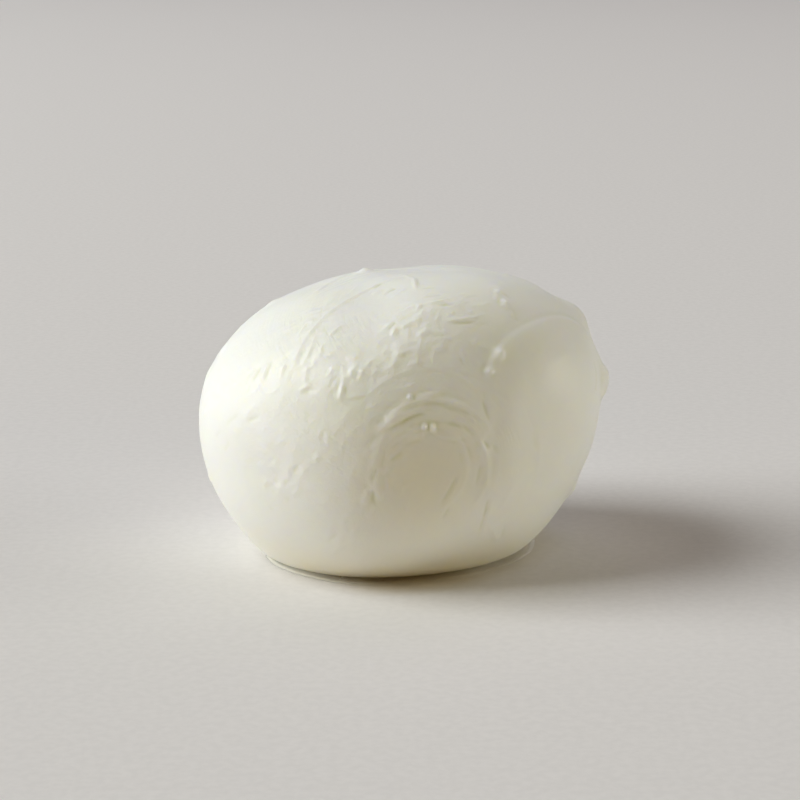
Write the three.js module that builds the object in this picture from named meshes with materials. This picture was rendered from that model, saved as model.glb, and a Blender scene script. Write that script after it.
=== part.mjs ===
// A mozzarella ball, stretched and folded by hand, resting on the flat spot it has settled on.
// Millimetres, +Z up. The origin is on the resting surface, under the middle of the ball.
import * as THREE from "three";
import { mergeVertices } from "three/addons/utils/BufferGeometryUtils.js";

// ---------------------------------------------------------------- driving dimensions
const HALF_WIDTH = 33.7; // centre to the widest point, along X
const HALF_DEPTH = 30.6; // centre to the widest point, along Y
const CROWN_RISE = 22.6; // centre to the top of the body
const BELLY_DROP = 31.3; // centre to the underside, before it settles flat
const CENTRE_HEIGHT = 25.1; // height of the body's centre above the surface it rests on
const PLAN_FULLNESS = 2.24; // exponent of the outline seen from above; 2 is an ellipse
const SIDE_FULLNESS = 2.13; // exponent of the outline seen from the side
const LEAN = 11; // degrees that the long axis rises towards +X
const FOOT_ROUNDING = 2.4; // how far above the flat foot the skin starts to curl under it
const SKIN_RADIUS = 30; // mean radius, which turns an angle at the centre into a length on the skin
const RELIEF_FOOT = 5; // relief fades out between the foot and this height
const MESH_DETAIL = 21; // subdivisions of the icosahedron: 20 * (detail + 1)^2 triangles
const CURD_COLOUR = "#f1f0e6";
const CURD_ROUGHNESS = 0.42;

// Places on the skin are [azimuth, elevation] in degrees seen from the centre:
// azimuth 0 is the front (-Y), 90 is the right (+X), and elevation 90 is the crown.
// Bearings are degrees counterclockwise from east (growing azimuth), seen from outside.

// Broad swellings and soft dents of the body.
const SWELLINGS = [
  { name: "shoulder", at: [95, 24], rise: 0.7, reach: 10 },
  { name: "shoulder slope", at: [108, 60], rise: -0.95, reach: 8 },
  { name: "crown", at: [180, 76], rise: -1.1, reach: 8 },
  { name: "left brow", at: [-98, 29], rise: 0.7, reach: 9 },
  { name: "left jaw", at: [-75, -46], rise: 0.4, reach: 5 },
  { name: "left side", at: [-84, -18], rise: 0.4, reach: 6 },
  { name: "right side", at: [88, -11], rise: 0.4, reach: 4 },
  { name: "left heel", at: [-56, -66], rise: 0.8, reach: 8 },
  { name: "left foot", at: [-48, -50], rise: 0.3, reach: 6 },
  { name: "right waist", at: [84, -24], rise: -1, reach: 8 },
  { name: "front cheek", at: [-30, -8], rise: 0.5, reach: 9 },
  { name: "swirl hollow", at: [14, -6], rise: -0.5, reach: 7 },
  { name: "swirl core", at: [9, -4], rise: -0.75, reach: 5 },
  { name: "brow hollow", at: [13, 9], rise: -0.3, reach: 7.7 },
  { name: "band hollow", at: [-16, 23], rise: -0.2, reach: 4.5 },
  { name: "low belly", at: [-10, -22], rise: 1.9, reach: 7.4 },
  { name: "crown roll", at: [12, 40], rise: 0.85, reach: 6.4 },
  { name: "left flat", at: [-49, -15], rise: -0.9, reach: 8.2 },
  { name: "left corner", at: [-62, 14], rise: 0.5, reach: 5.4 },
  { name: "left ridge", at: [-47, 23], rise: 0.4, reach: 5.3 },
  { name: "lobe valley", at: [29, 18], rise: -0.85, reach: 5.7 },
  { name: "lobe dip", at: [37, 10], rise: -0.5, reach: 7.7 },
  { name: "lobe flat", at: [51, 0], rise: -0.4, reach: 11 },
  { name: "low right dip", at: [41, -33], rise: -0.75, reach: 6.7 },
  { name: "right brow", at: [55, 49], rise: 0.9, reach: 6 },
  { name: "back hump", at: [200, 18], rise: 0.8, reach: 12 },
  { name: "back dent", at: [160, -5], rise: -0.7, reach: 8 },
];

// The lobe where the ball was pinched off: a smooth oval pad with a raised lip.
const LOBES = [
  {
    name: "pinched lobe",
    at: [56, 14.8],
    halfWidth: 14.3,
    halfHeight: 9.3,
    squareness: 2.3,
    rise: 0.25,
    lip: 0.08,
    openFrom: 200,
    openTo: 360,
  },
  {
    name: "back lobe",
    at: [232, 8],
    halfWidth: 12.5,
    halfHeight: 14,
    squareness: 2.2,
    rise: 0.45,
    lip: 0.19,
    openFrom: 215,
    openTo: 400,
  },
];
const LOBE_FADE = 9; // mm inside the rim over which the lobe sinks back to the body
const LOBE_EDGE = 0.7; // mm over which the rim drops to the skin outside
const LOBE_LIP_INSET = 1.2; // mm from the rim to the top of the rolled lip
const LOBE_LIP_REACH = 0.9; // half-width of the lip
const LOBE_CREASE = 0.15; // depth of the crease that runs round outside the rim
const LOBE_CREASE_OUTSET = 1.3; // mm from the rim to the bottom of the crease
const LOBE_CREASE_REACH = 0.8; // half-width of the crease
const LOBE_OPENING = 45; // degrees over which the rim sinks into the skin where the lobe is open

// Folds of the stretched curd: arcs of small circles. The skin on one side laps over the other.
// side 1: the outer side is the higher one, side -1: the inner side is.
const FOLDS = [
  { name: "swirl cap", at: [6.7, -6.6], radius: 7.2, from: -70, to: 130, rise: 0.22, side: -1 },
  { name: "swirl second", at: [9.9, -8], radius: 9.1, from: -50, to: 195, rise: 0.2, side: 1 },
  { name: "swirl third", at: [9.6, -6.2], radius: 10.9, from: -40, to: 140, rise: 0.14, side: 1 },
  { name: "swirl brow", at: [8.5, 4], radius: 10.7, from: 0, to: 135, rise: 0.25, side: 1 },
  { name: "swirl leg", at: [-31, -16], radius: 29.7, from: -40, to: 20, rise: 0.18, side: 1 },
  { name: "upper stretch", at: [17, 75], radius: 20.3, from: 0, to: 170, rise: 0.27, side: 1 },
  { name: "left stretch", at: [25, 19], radius: 30.5, from: 88, to: 175, rise: 0.27, side: 1 },
  { name: "crown flake", at: [13, 37], radius: 6.7, from: 5, to: 180, rise: 0.11, side: -1 },
  { name: "cheek pull", at: [-73, 28], radius: 29.7, from: -60, to: -2, rise: 0.07, side: 1 },
  { name: "lower pull", at: [31.5, -28], radius: 21.1, from: 150, to: 200, rise: 0.11, side: 1 },
  { name: "torn edge", at: [-20.5, 33.5], radius: 10.1, from: -135, to: -10, rise: 0.16, side: -1 },
  { name: "back sweep low", at: [205, -8], radius: 15, from: 20, to: 150, rise: 0.29, side: 1 },
  { name: "back sweep middle", at: [200, -4], radius: 19, from: 30, to: 165, rise: 0.25, side: 1 },
  { name: "back sweep high", at: [190, 6], radius: 21, from: 15, to: 140, rise: 0.29, side: 1 },
  { name: "back crown", at: [170, 40], radius: 17, from: 10, to: 120, rise: 0.25, side: -1 },
  { name: "left flank", at: [-115, -12], radius: 12, from: 30, to: 140, rise: 0.25, side: 1 },
  { name: "left flank low", at: [-120, -20], radius: 16, from: 50, to: 130, rise: 0.22, side: 1 },
];
const FOLD_LIP = 0.6; // mm over which the edge of a fold rises
const FOLD_FADE = 2.8; // mm over which it sinks again behind the edge
const FOLD_TROUGH = 0.7; // how much it dips before it meets the body again
const FOLD_TAPER = 22; // degrees of arc over which a fold fades at its ends

// Torn edges: ragged ridges, with the skin above the tear standing over the skin below it.
const TEARS = [
  { name: "front tear", at: [-10, 24], bearing: 22, halfLength: 9.5, rise: 0.34, seed: 11 },
  { name: "upper tear", at: [12, 43], bearing: 28, halfLength: 7, rise: 0.18, seed: 23 },
  { name: "back tear", at: [188, 30], bearing: 160, halfLength: 10, rise: 0.36, seed: 37 },
];
const TEAR_WIDTH = 2.6; // mm from the ragged edge to where the raised band fades
const TEAR_RAGGED = 1.1; // mm that the edge wanders either way
const TEAR_TAPER = 0.7; // share of the half-length at which a tear starts to fade
const TEAR_END = 1.1; // share of the half-length at which it is gone
const TEAR_BENDS = [5, 11]; // radians of the slow and the quick wander over half a tear
const TEAR_CRAGS = 9; // crags along one tear
const CRAG_RISE = [0.35, 0.85]; // lowest and highest crag, as shares of the tear's rise
const CRAG_OFFSET = [-0.2, 0.8]; // where it stands across the edge, as shares of the wander
const CRAG_SIZE = [0.8, 1.4]; // mm, half-width of the smallest and the largest crag

// Nubs and drops of curd that stand on the skin.
const NUBS = [
  { name: "lobe nub", at: [34.5, 26], rise: 0.5, length: 1.3, width: 0.9, bearing: 55 },
  { name: "lobe corner nub", at: [29.8, 21.4], rise: 0.4, length: 1.0, width: 0.9, bearing: 0 },
  { name: "right flap", at: [88, 8], rise: 1.2, length: 2.4, width: 1.6, bearing: 90 },
  { name: "shoulder corner", at: [97, 26], rise: 1.2, length: 2.8, width: 2.2, bearing: 0 },
  { name: "shoulder dip", at: [99, 34], rise: -0.4, length: 3, width: 1.6, bearing: 0 },
  { name: "brow nub", at: [55, 47.5], rise: 0.2, length: 1.3, width: 0.9, bearing: 60 },
  { name: "brow nub low", at: [50, 41.5], rise: 0.2, length: 1.2, width: 0.9, bearing: 60 },
  { name: "crown nub", at: [-133, 70], rise: 0.7, length: 1.2, width: 1.1, bearing: 0 },
  { name: "left nub", at: [-101, 37], rise: 0.3, length: 1.2, width: 1, bearing: 0 },
  { name: "right nub", at: [83, -26], rise: 0.6, length: 1.5, width: 1, bearing: 70 },
  { name: "leaf dent", at: [-52, 17.5], rise: -0.2, length: 1.8, width: 1.0, bearing: 60 },
  { name: "tear notch", at: [-29, 15.5], rise: -0.3, length: 1.6, width: 1.0, bearing: 10 },
  { name: "back nub", at: [215, 28], rise: 0.6, length: 1.6, width: 1.2, bearing: 40 },
  { name: "back nub low", at: [178, -12], rise: 0.5, length: 1.5, width: 1.1, bearing: 120 },
];

// The slow unevenness of a thing shaped by hand: a few long waves laid over each other.
const LUMP_WAVES = 12;
const LUMP_RISE = 0.07; // height of one wave
const LUMP_LENGTH = [14, 30]; // mm, shortest and longest wave
const LUMP_SEED = 5;

// ---------------------------------------------------------------- helpers
const { degToRad, smoothstep, euclideanModulo } = THREE.MathUtils;
const bell = (x) => Math.exp(-0.5 * x * x);

const between = ([low, high], share) => low + (high - low) * share;

// Repeatable draws between 0 and 1 from a whole-number seed.
function drawsFrom(seed) {
  let state = seed * 7919;
  return () => {
    state = (state * 16807) % 2147483647;
    return state / 2147483647;
  };
}

function directionTo([azimuth, elevation]) {
  const a = degToRad(azimuth);
  const e = degToRad(elevation);
  return new THREE.Vector3(
    Math.sin(a) * Math.cos(e),
    -Math.cos(a) * Math.cos(e),
    Math.sin(e),
  );
}

// The directions out, east and north at a place on the skin.
function axesAt(place) {
  const a = degToRad(place[0]);
  const out = directionTo(place);
  const east = new THREE.Vector3(Math.cos(a), Math.sin(a), 0);
  return { out, east, north: new THREE.Vector3().crossVectors(out, east) };
}

// Where a direction lies on the skin around a place: millimetres east and north of it.
function offsetOn(axes, direction) {
  const angle = axes.out.angleTo(direction);
  const scale = (SKIN_RADIUS * angle) / Math.max(Math.sin(angle), 1e-6);
  return new THREE.Vector2(
    scale * direction.dot(axes.east),
    scale * direction.dot(axes.north),
  );
}

// Degrees from a bearing to the nearer way round a span, negative inside it.
function outsideSpan(bearing, from, to) {
  const past = euclideanModulo(bearing - from, 360);
  const span = to - from;
  return past <= span ? -Math.min(past, span - past) : Math.min(past - span, 360 - past);
}

const bearingOf = (offset) => THREE.MathUtils.radToDeg(Math.atan2(offset.y, offset.x));

// A height across a lapped edge: it climbs over FOLD_LIP and sinks over FOLD_FADE.
function lap(across) {
  const behind = across / FOLD_FADE;
  return across < 0 ? bell(across / FOLD_LIP) : (1 - FOLD_TROUGH * behind) * Math.exp(-behind);
}

// ---------------------------------------------------------------- the body
function bodyRadius(direction) {
  const lean = degToRad(LEAN);
  const x = direction.x * Math.cos(lean) + direction.z * Math.sin(lean);
  const z = direction.z * Math.cos(lean) - direction.x * Math.sin(lean);
  const plan = Math.hypot(
    Math.abs(x / HALF_WIDTH) ** (PLAN_FULLNESS / 2),
    Math.abs(direction.y / HALF_DEPTH) ** (PLAN_FULLNESS / 2),
  ) ** (2 / PLAN_FULLNESS);
  const side = Math.abs(z) / (z > 0 ? CROWN_RISE : BELLY_DROP);
  return (plan ** SIDE_FULLNESS + side ** SIDE_FULLNESS) ** (-1 / SIDE_FULLNESS);
}

// ---------------------------------------------------------------- relief
// Each maker returns a function that gives its height at a direction.
function swelling({ at, rise, reach }) {
  const out = directionTo(at);
  return (direction) => rise * bell((SKIN_RADIUS * out.angleTo(direction)) / reach);
}

function nub({ at, rise, length, width, bearing }) {
  const axes = axesAt(at);
  const turn = new THREE.Vector2();
  return (direction) => {
    const place = offsetOn(axes, direction).rotateAround(turn, -degToRad(bearing));
    return rise * bell(Math.hypot(place.x / length, place.y / width));
  };
}

function fold({ at, radius, from, to, rise, side }) {
  const axes = axesAt(at);
  return (direction) => {
    const place = offsetOn(axes, direction);
    const inside = -outsideSpan(bearingOf(place), from, to);
    return rise * smoothstep(inside, 0, FOLD_TAPER) * lap(side * (place.length() - radius));
  };
}

function lobe({ at, halfWidth, halfHeight, squareness, rise, lip, openFrom, openTo }) {
  const axes = axesAt(at);
  const openMiddle = (openFrom + openTo) / 2;
  const openHalf = (openTo - openFrom) / 2;
  return (direction) => {
    const place = offsetOn(axes, direction);
    const reach = Math.abs(place.x / halfWidth) ** squareness;
    const height = Math.abs(place.y / halfHeight) ** squareness;
    const size = place.length() || 1e-6;
    const rim = size / Math.max((reach + height) ** (1 / squareness), 1e-6);
    const inward = rim - size;
    const turned = euclideanModulo(bearingOf(place) - openMiddle + 180, 360) - 180;
    const closed = smoothstep(Math.abs(turned), openHalf, openHalf + LOBE_OPENING);
    const plateau = smoothstep(inward, -LOBE_EDGE, LOBE_EDGE);
    const sunk = inward > 0 ? Math.exp(-inward / LOBE_FADE) : 1;
    const rolled = lip * bell((inward - LOBE_LIP_INSET) / LOBE_LIP_REACH);
    const crease = LOBE_CREASE * bell((inward + LOBE_CREASE_OUTSET) / LOBE_CREASE_REACH);
    return closed * (rise * plateau * sunk + rolled - crease);
  };
}

function tear({ at, bearing, halfLength, rise, seed }) {
  const axes = axesAt(at);
  const draw = drawsFrom(seed);
  const turn = new THREE.Vector2();
  const crags = Array.from({ length: TEAR_CRAGS }, (_, i) => ({
    along: halfLength * ((2 * (i + draw())) / TEAR_CRAGS - 1),
    across: TEAR_RAGGED * between(CRAG_OFFSET, draw()),
    rise: between(CRAG_RISE, draw()),
    size: between(CRAG_SIZE, draw()),
  }));
  return (direction) => {
    const place = offsetOn(axes, direction).rotateAround(turn, -degToRad(bearing));
    const along = place.x / halfLength;
    if (Math.abs(along) > TEAR_END) return 0;
    const [slow, quick] = TEAR_BENDS;
    const wander = TEAR_RAGGED * Math.sin(slow * along + seed) * Math.cos(quick * along);
    const across = place.y - wander;
    const ends = 1 - smoothstep(Math.abs(along), TEAR_TAPER, TEAR_END);
    const band = across < 0 ? bell(across / FOLD_LIP) : Math.exp(-across / TEAR_WIDTH);
    const crag = crags.reduce(
      (sum, c) =>
        sum + c.rise * bell(Math.hypot(place.x - c.along, place.y - wander - c.across) / c.size),
      0,
    );
    return rise * ends * band + rise * ends * crag;
  };
}

function lumps() {
  const draw = drawsFrom(LUMP_SEED);
  const waves = Array.from({ length: LUMP_WAVES }, () => {
    const way = directionTo([360 * draw(), THREE.MathUtils.radToDeg(Math.asin(2 * draw() - 1))]);
    const length = between(LUMP_LENGTH, draw());
    return { way, turns: (2 * Math.PI * SKIN_RADIUS) / length, phase: 2 * Math.PI * draw() };
  });
  return (direction) =>
    waves.reduce(
      (sum, w) => sum + LUMP_RISE * Math.sin(w.turns * w.way.dot(direction) + w.phase),
      0,
    );
}

// ---------------------------------------------------------------- the skin
const form = SWELLINGS.map(swelling);
const relief = [
  ...LOBES.map(lobe),
  ...FOLDS.map(fold),
  ...TEARS.map(tear),
  ...NUBS.map(nub),
  lumps(),
];
const heightOf = (parts, direction) => parts.reduce((sum, part) => sum + part(direction), 0);

// The soft belly settles: what would hang below the surface is pressed flat on it.
function settled(z) {
  if (z <= -FOOT_ROUNDING) return 0;
  return z >= FOOT_ROUNDING ? z : (z + FOOT_ROUNDING) ** 2 / (4 * FOOT_ROUNDING);
}

function skinPoint(direction) {
  const smooth = bodyRadius(direction) + heightOf(form, direction);
  const height = CENTRE_HEIGHT + smooth * direction.z;
  const clear = smoothstep(height, 0, RELIEF_FOOT);
  const radius = smooth + clear * heightOf(relief, direction);
  const point = direction.clone().multiplyScalar(radius);
  point.z = settled(point.z + CENTRE_HEIGHT);
  return point;
}

function ballGeometry() {
  const sphere = new THREE.IcosahedronGeometry(1, MESH_DETAIL);
  sphere.deleteAttribute("normal");
  sphere.deleteAttribute("uv");
  const geometry = mergeVertices(sphere, 1e-5);
  const position = geometry.getAttribute("position");
  const direction = new THREE.Vector3();
  for (let i = 0; i < position.count; i += 1) {
    direction.fromBufferAttribute(position, i).normalize();
    const { x, y, z } = skinPoint(direction);
    position.setXYZ(i, x, y, z);
  }
  geometry.computeBoundingBox();
  const middle = geometry.boundingBox.getCenter(new THREE.Vector3());
  geometry.translate(-middle.x, -middle.y, 0);
  geometry.computeVertexNormals();
  return geometry;
}

const curd = new THREE.MeshStandardMaterial({
  name: "fresh mozzarella",
  color: CURD_COLOUR,
  roughness: CURD_ROUGHNESS,
  metalness: 0,
});
const ball = new THREE.Mesh(ballGeometry(), curd);
ball.name = "mozzarella_ball";

const part = new THREE.Group();
part.add(ball);
export default part;
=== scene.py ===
"""A mozzarella ball with its stretched, folded and torn skin, the thin ring of whey that it
stands in, and a plain studio stage. Blender works in metres. The named sizes and the tables
are in millimetres and degrees, unless they say otherwise."""

import math

import bmesh
import bpy
import numpy as np
from mathutils import Matrix, Vector


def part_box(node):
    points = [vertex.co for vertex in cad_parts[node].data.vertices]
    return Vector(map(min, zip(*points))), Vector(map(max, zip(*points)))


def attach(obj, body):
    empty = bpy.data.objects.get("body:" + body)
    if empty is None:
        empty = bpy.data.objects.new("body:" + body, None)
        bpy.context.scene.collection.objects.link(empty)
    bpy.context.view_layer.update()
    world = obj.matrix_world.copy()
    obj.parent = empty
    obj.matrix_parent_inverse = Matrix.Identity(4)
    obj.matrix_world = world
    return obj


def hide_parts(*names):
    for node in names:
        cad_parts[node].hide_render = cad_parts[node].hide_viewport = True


bl_info = {
    "name": "Mozzarella ball",
    "version": (1, 0, 0),
    "blender": (4, 5, 0),
    "location": "3D Viewport > Sidebar > Mozzarella",
    "description": "Builds a mozzarella ball, its whey film and a studio stage",
    "category": "Add Mesh",
}

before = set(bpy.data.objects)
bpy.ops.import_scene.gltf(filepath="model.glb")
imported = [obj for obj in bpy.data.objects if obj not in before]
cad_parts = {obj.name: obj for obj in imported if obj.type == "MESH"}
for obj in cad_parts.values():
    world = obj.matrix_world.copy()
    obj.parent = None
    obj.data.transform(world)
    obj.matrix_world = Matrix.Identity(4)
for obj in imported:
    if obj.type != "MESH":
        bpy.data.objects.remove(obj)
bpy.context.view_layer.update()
MM = 0.001
TINY = 1e-6

# ------------------------------------------------------------------ the camera's view
VIEW_PIXELS = 800
VIEW_ELEVATION = 14
VIEW_AIM = (-0.6, 0.0, 25.5)
VIEW_DISTANCE = 376
VIEW_LENS = 100.0
VIEW_SENSOR = 36.0

# ------------------------------------------------------------------ the ball's body
HALF_WIDTH = 33.7
HALF_DEPTH = 30.6
CROWN_RISE = 22.6
BELLY_DROP = 31.3
CENTRE_HEIGHT = 25.1
PLAN_FULLNESS = 2.24
SIDE_FULLNESS = 2.13
LEAN = 11
FOOT_ROUNDING = 2.4
SKIN_RADIUS = 30
RELIEF_FOOT = 5
FOOT_TILTS = (-85.0, -30.0)  # between these elevations the skin leaves the surface
FOOT_TILT_STEPS = 111
FOOT_TOUCH = 0.05  # skin lower than this counts as resting on the surface
BELL_REACH = 4  # how many of its own reaches a swelling or a nub is worked out over

# Places on the skin are (azimuth, elevation) in degrees seen from the centre: azimuth 0 is
# the front (-Y), 90 the right (+X). Bearings turn counterclockwise from east.
FRONT = (0, 12)
FRONT_PULL = 0.45  # the skin's faces are drawn towards the front, and are smallest there

SWELLINGS = [  # name, place, rise, reach
    ("shoulder", (95, 24), 0.7, 10),
    ("shoulder slope", (108, 60), -0.95, 8),
    ("crown", (180, 76), -1.1, 8),
    ("left brow", (-98, 29), 0.7, 9),
    ("left jaw", (-75, -46), 0.4, 5),
    ("left side", (-84, -18), 0.4, 6),
    ("right side", (88, -11), 0.4, 4),
    ("left heel", (-56, -66), 0.8, 8),
    ("left foot", (-48, -50), 0.3, 6),
    ("right waist", (84, -24), -1.0, 8),
    ("front cheek", (-30, -8), 0.5, 9),
    ("swirl hollow", (14, -6), -0.5, 7),
    ("swirl core", (9, -4), -0.75, 5),
    ("brow hollow", (13, 9), -0.3, 7.7),
    ("band hollow", (-16, 23), -0.2, 4.5),
    ("low belly", (-10, -22), 1.9, 7.4),
    ("crown roll", (12, 40), 0.85, 6.4),
    ("left flat", (-49, -15), -0.9, 8.2),
    ("left corner", (-62, 14), 0.5, 5.4),
    ("left ridge", (-47, 23), 0.4, 5.3),
    ("lobe valley", (29, 18), -0.85, 5.7),
    ("lobe dip", (37, 10), -0.5, 7.7),
    ("lobe flat", (51, 0), -0.4, 11),
    ("low right dip", (41, -33), -0.75, 6.7),
    ("right brow", (55, 49), 0.9, 6),
    ("back hump", (200, 18), 0.8, 12),
    ("back dent", (160, -5), -0.7, 8),
]

LOBES = [  # name, place, half width, half height, squareness, rise, lip, open from, open to
    ("pinched lobe", (56, 14.8), 14.3, 9.3, 2.3, 0.18, 0.05, 200, 360),
    ("back lobe", (232, 8), 12.5, 14.0, 2.2, 0.32, 0.12, 215, 400),
]
LOBE_FADE = 9
LOBE_EDGE = 0.55
LOBE_LIP_INSET = 1.1
LOBE_LIP_REACH = 0.8
LOBE_CREASE = 0.06
LOBE_CREASE_OUTSET = 0.9
LOBE_CREASE_REACH = 0.55
LOBE_OPENING = 45

FOLDS = [  # name, place, radius, arc from, arc to, rise, side
    ("swirl cap", (6.7, -6.6), 7.2, -70, 130, 0.12, -1),
    ("swirl second", (9.9, -8), 9.1, -50, 195, 0.11, 1),
    ("swirl third", (9.6, -6.2), 10.9, -40, 140, 0.08, 1),
    ("swirl brow", (8.5, 4), 10.7, 0, 135, 0.14, 1),
    ("swirl leg", (-31, -16), 29.7, -40, 20, 0.10, 1),
    ("upper stretch", (17, 75), 20.3, 0, 170, 0.15, 1),
    ("left stretch", (25, 19), 30.5, 88, 175, 0.15, 1),
    ("crown flake", (13, 37), 6.7, 5, 180, 0.06, -1),
    ("cheek pull", (-73, 28), 29.7, -60, -2, 0.04, 1),
    ("lower pull", (31.5, -28), 21.1, 150, 200, 0.06, 1),
    ("torn edge", (-20.5, 33.5), 10.1, -135, -10, 0.09, -1),
    ("back sweep low", (205, -8), 15, 20, 150, 0.16, 1),
    ("back sweep middle", (200, -4), 19, 30, 165, 0.14, 1),
    ("back sweep high", (190, 6), 21, 15, 140, 0.16, 1),
    ("back crown", (170, 40), 17, 10, 120, 0.14, -1),
    ("left flank", (-115, -12), 12, 30, 140, 0.14, 1),
    ("left flank low", (-120, -20), 16, 50, 130, 0.12, 1),
]
FOLD_LIP = 0.34
FOLD_FADE = 2.4
FOLD_TROUGH = 0.7
FOLD_TAPER = 22

TEARS = [  # name, place, bearing, half length, rise, seed
    ("front tear", (-10, 24), 22, 9.5, 0.10, 11),
    ("upper tear", (12, 43), 28, 7.0, 0.06, 23),
    ("back tear", (188, 30), 160, 10.0, 0.22, 37),
]
TEAR_WIDTH = 2.6
TEAR_RAGGED = 1.1
TEAR_TAPER = 0.7
TEAR_END = 1.1
TEAR_BENDS = (5, 11)
TEAR_CRAGS = 9
CRAG_RISE = (0.35, 0.85)
CRAG_OFFSET = (-0.2, 0.8)
CRAG_SIZE = (0.8, 1.4)

NUBS = [  # name, place, rise, half length, half width, bearing
    ("lobe nub", (34.5, 26.0), 0.45, 0.75, 0.5, 55),
    ("lobe corner nub", (29.8, 21.4), 0.35, 0.5, 0.4, 0),
    ("right flap", (88, 8), 0.9, 2.4, 1.6, 90),
    ("shoulder corner", (97, 26), 1.2, 2.8, 2.2, 0),
    ("shoulder dip", (99, 34), -0.4, 3.0, 1.6, 0),
    ("brow nub", (55, 47.5), 0.2, 1.3, 0.9, 60),
    ("brow nub low", (50, 41.5), 0.2, 1.2, 0.9, 60),
    ("crown nub", (-133, 70), 0.7, 1.2, 1.1, 0),
    ("left nub", (-101, 37), 0.3, 1.2, 1.0, 0),
    ("right nub", (83, -26), 0.6, 1.5, 1.0, 70),
    ("leaf dent", (-52, 17.5), -0.10, 1.6, 0.8, 60),
    ("tear notch", (-29, 15.5), -0.12, 1.2, 0.7, 10),
    ("back nub", (215, 28), 0.6, 1.6, 1.2, 40),
    ("back nub low", (178, -12), 0.5, 1.5, 1.1, 120),
]

LUMP_WAVES = 12
LUMP_RISE = 0.07
LUMP_LENGTH = (14, 30)
LUMP_SEED = 5

# ------------------------------------------------------------------ the skin's fine relief
# Strands: thin ridges of curd drawn out along the circles of a sweep.
SWEEPS = [  # name, place, radii, arc, strands, rise, length, width, seed
    ("swirl strands", (9.5, -7), (5.5, 11.5), (45, 140), 48, (0.05, 0.13), (1.6, 5.5), 0.26, 1),
    ("swirl side strands", (9.5, -7), (5.0, 9.5), (125, 205), 34, (0.03, 0.08), (1.5, 4.0), 0.26, 9),
    ("brow strands", (12, 6), (9.5, 16.0), (15, 150), 30, (0.03, 0.09), (1.5, 4.5), 0.30, 2),
    ("leg strands", (9.5, -6), (12.5, 19.0), (-75, 25), 22, (0.015, 0.045), (2.5, 7.0), 0.34, 3),
    ("crown strands", (13, 50), (8.0, 26.0), (50, 200), 40, (0.02, 0.07), (2.0, 7.0), 0.36, 4),
    ("lobe strands", (60, 4), (2.0, 13.5), (-180, 180), 18, (0.015, 0.045), (2.0, 5.0), 0.45, 5),
    ("back strands", (200, -4), (6.0, 24.0), (10, 170), 90, (0.04, 0.12), (2.0, 7.0), 0.42, 6),
    ("left strands", (-115, -14), (6.0, 20.0), (20, 150), 46, (0.04, 0.12), (2.0, 6.0), 0.40, 7),
    ("right strands", (125, -4), (5.0, 20.0), (-70, 110), 50, (0.04, 0.12), (2.0, 6.0), 0.40, 8),
]

STRAND_DRIFT = 0.06  # how far a strand may lean off its circle, as a share of its length
STRAND_ENDS = (0.3, 1.5)  # half lengths between which a strand fades out

# Crumbs: short slanting flakes of torn curd, scattered over a patch.
CRUMBS = [  # name, place, half sizes, bearing, spread, count, slant, rise, length, width, seed
    ("torn band", (-15, 23), (8.5, 2.6), 20, 16, 40, 62, (0.01, 0.05), (0.4, 0.9), 0.30, 11),
    ("band end", (2, 29), (5.0, 3.0), 20, 18, 24, 34, (0.015, 0.07), (0.4, 1.0), 0.30, 12),
    ("upper crumb", (12, 40), (10.0, 7.0), 25, 20, 90, 24, (0.03, 0.11), (0.4, 1.2), 0.30, 13),
    ("brow crumb", (4, 14), (9.0, 4.0), 25, 16, 34, 30, (0.035, 0.10), (0.5, 1.2), 0.30, 14),
    ("cheek crumb", (-17, 2), (6.0, 6.0), 60, 16, 26, 58, (0.02, 0.08), (0.5, 1.4), 0.32, 15),
    ("left crumb", (-47, 8), (8.0, 9.0), 50, 18, 36, 52, (0.02, 0.06), (0.5, 1.5), 0.32, 16),
    ("low left crumb", (-38, -7), (7.0, 5.0), 40, 18, 34, 50, (0.03, 0.08), (0.5, 1.4), 0.32, 17),
    ("low crumb", (-8, -18), (9.0, 7.0), 70, 14, 30, 72, (0.025, 0.08), (0.6, 1.6), 0.34, 18),
    ("upper left crumb", (-38, 36), (9.0, 8.0), 40, 18, 70, 48, (0.03, 0.10), (0.5, 1.5), 0.30, 24),
    ("lobe foot crumb", (27, 2), (2.5, 7.0), 100, 24, 22, 60, (0.02, 0.07), (0.5, 1.2), 0.30, 21),
    ("back torn band", (188, 32), (9.0, 2.6), 160, 16, 50, 120, (0.04, 0.16), (0.5, 1.0), 0.40, 19),
    ("back crumb", (195, 5), (18.0, 16.0), 0, 24, 130, 30, (0.03, 0.11), (0.6, 1.6), 0.42, 20),
    ("left back crumb", (-120, 10), (14.0, 14.0), 0, 24, 80, 40, (0.03, 0.1), (0.6, 1.6), 0.42, 22),
    ("right back crumb", (130, 15), (14.0, 14.0), 0, 24, 90, 140, (0.03, 0.11), (0.6, 1.6), 0.42, 23),
]

CRUMB_THINNING = 0.5  # how much lower a crumb at the edge of its patch is
CRUMB_ENDS = 2.6  # half lengths that a crumb is worked out over
PATCH_SHARE = 1.6
PATCH_MARGIN = 3  # skin beyond a patch or a sweep that its flakes still reach
FLAKE_FADE = 3  # widths over which a strand or a crumb sinks back into the skin
FLAKE_TROUGH = 0.9
FLAKE_REACH = 8  # widths that it is worked out over
TORN_SPREAD = 0.8  # how far round each patch of crumbs the skin looks torn
TORN_RISE = 0.1  # height of the crumbs that make it look fully torn

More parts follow.
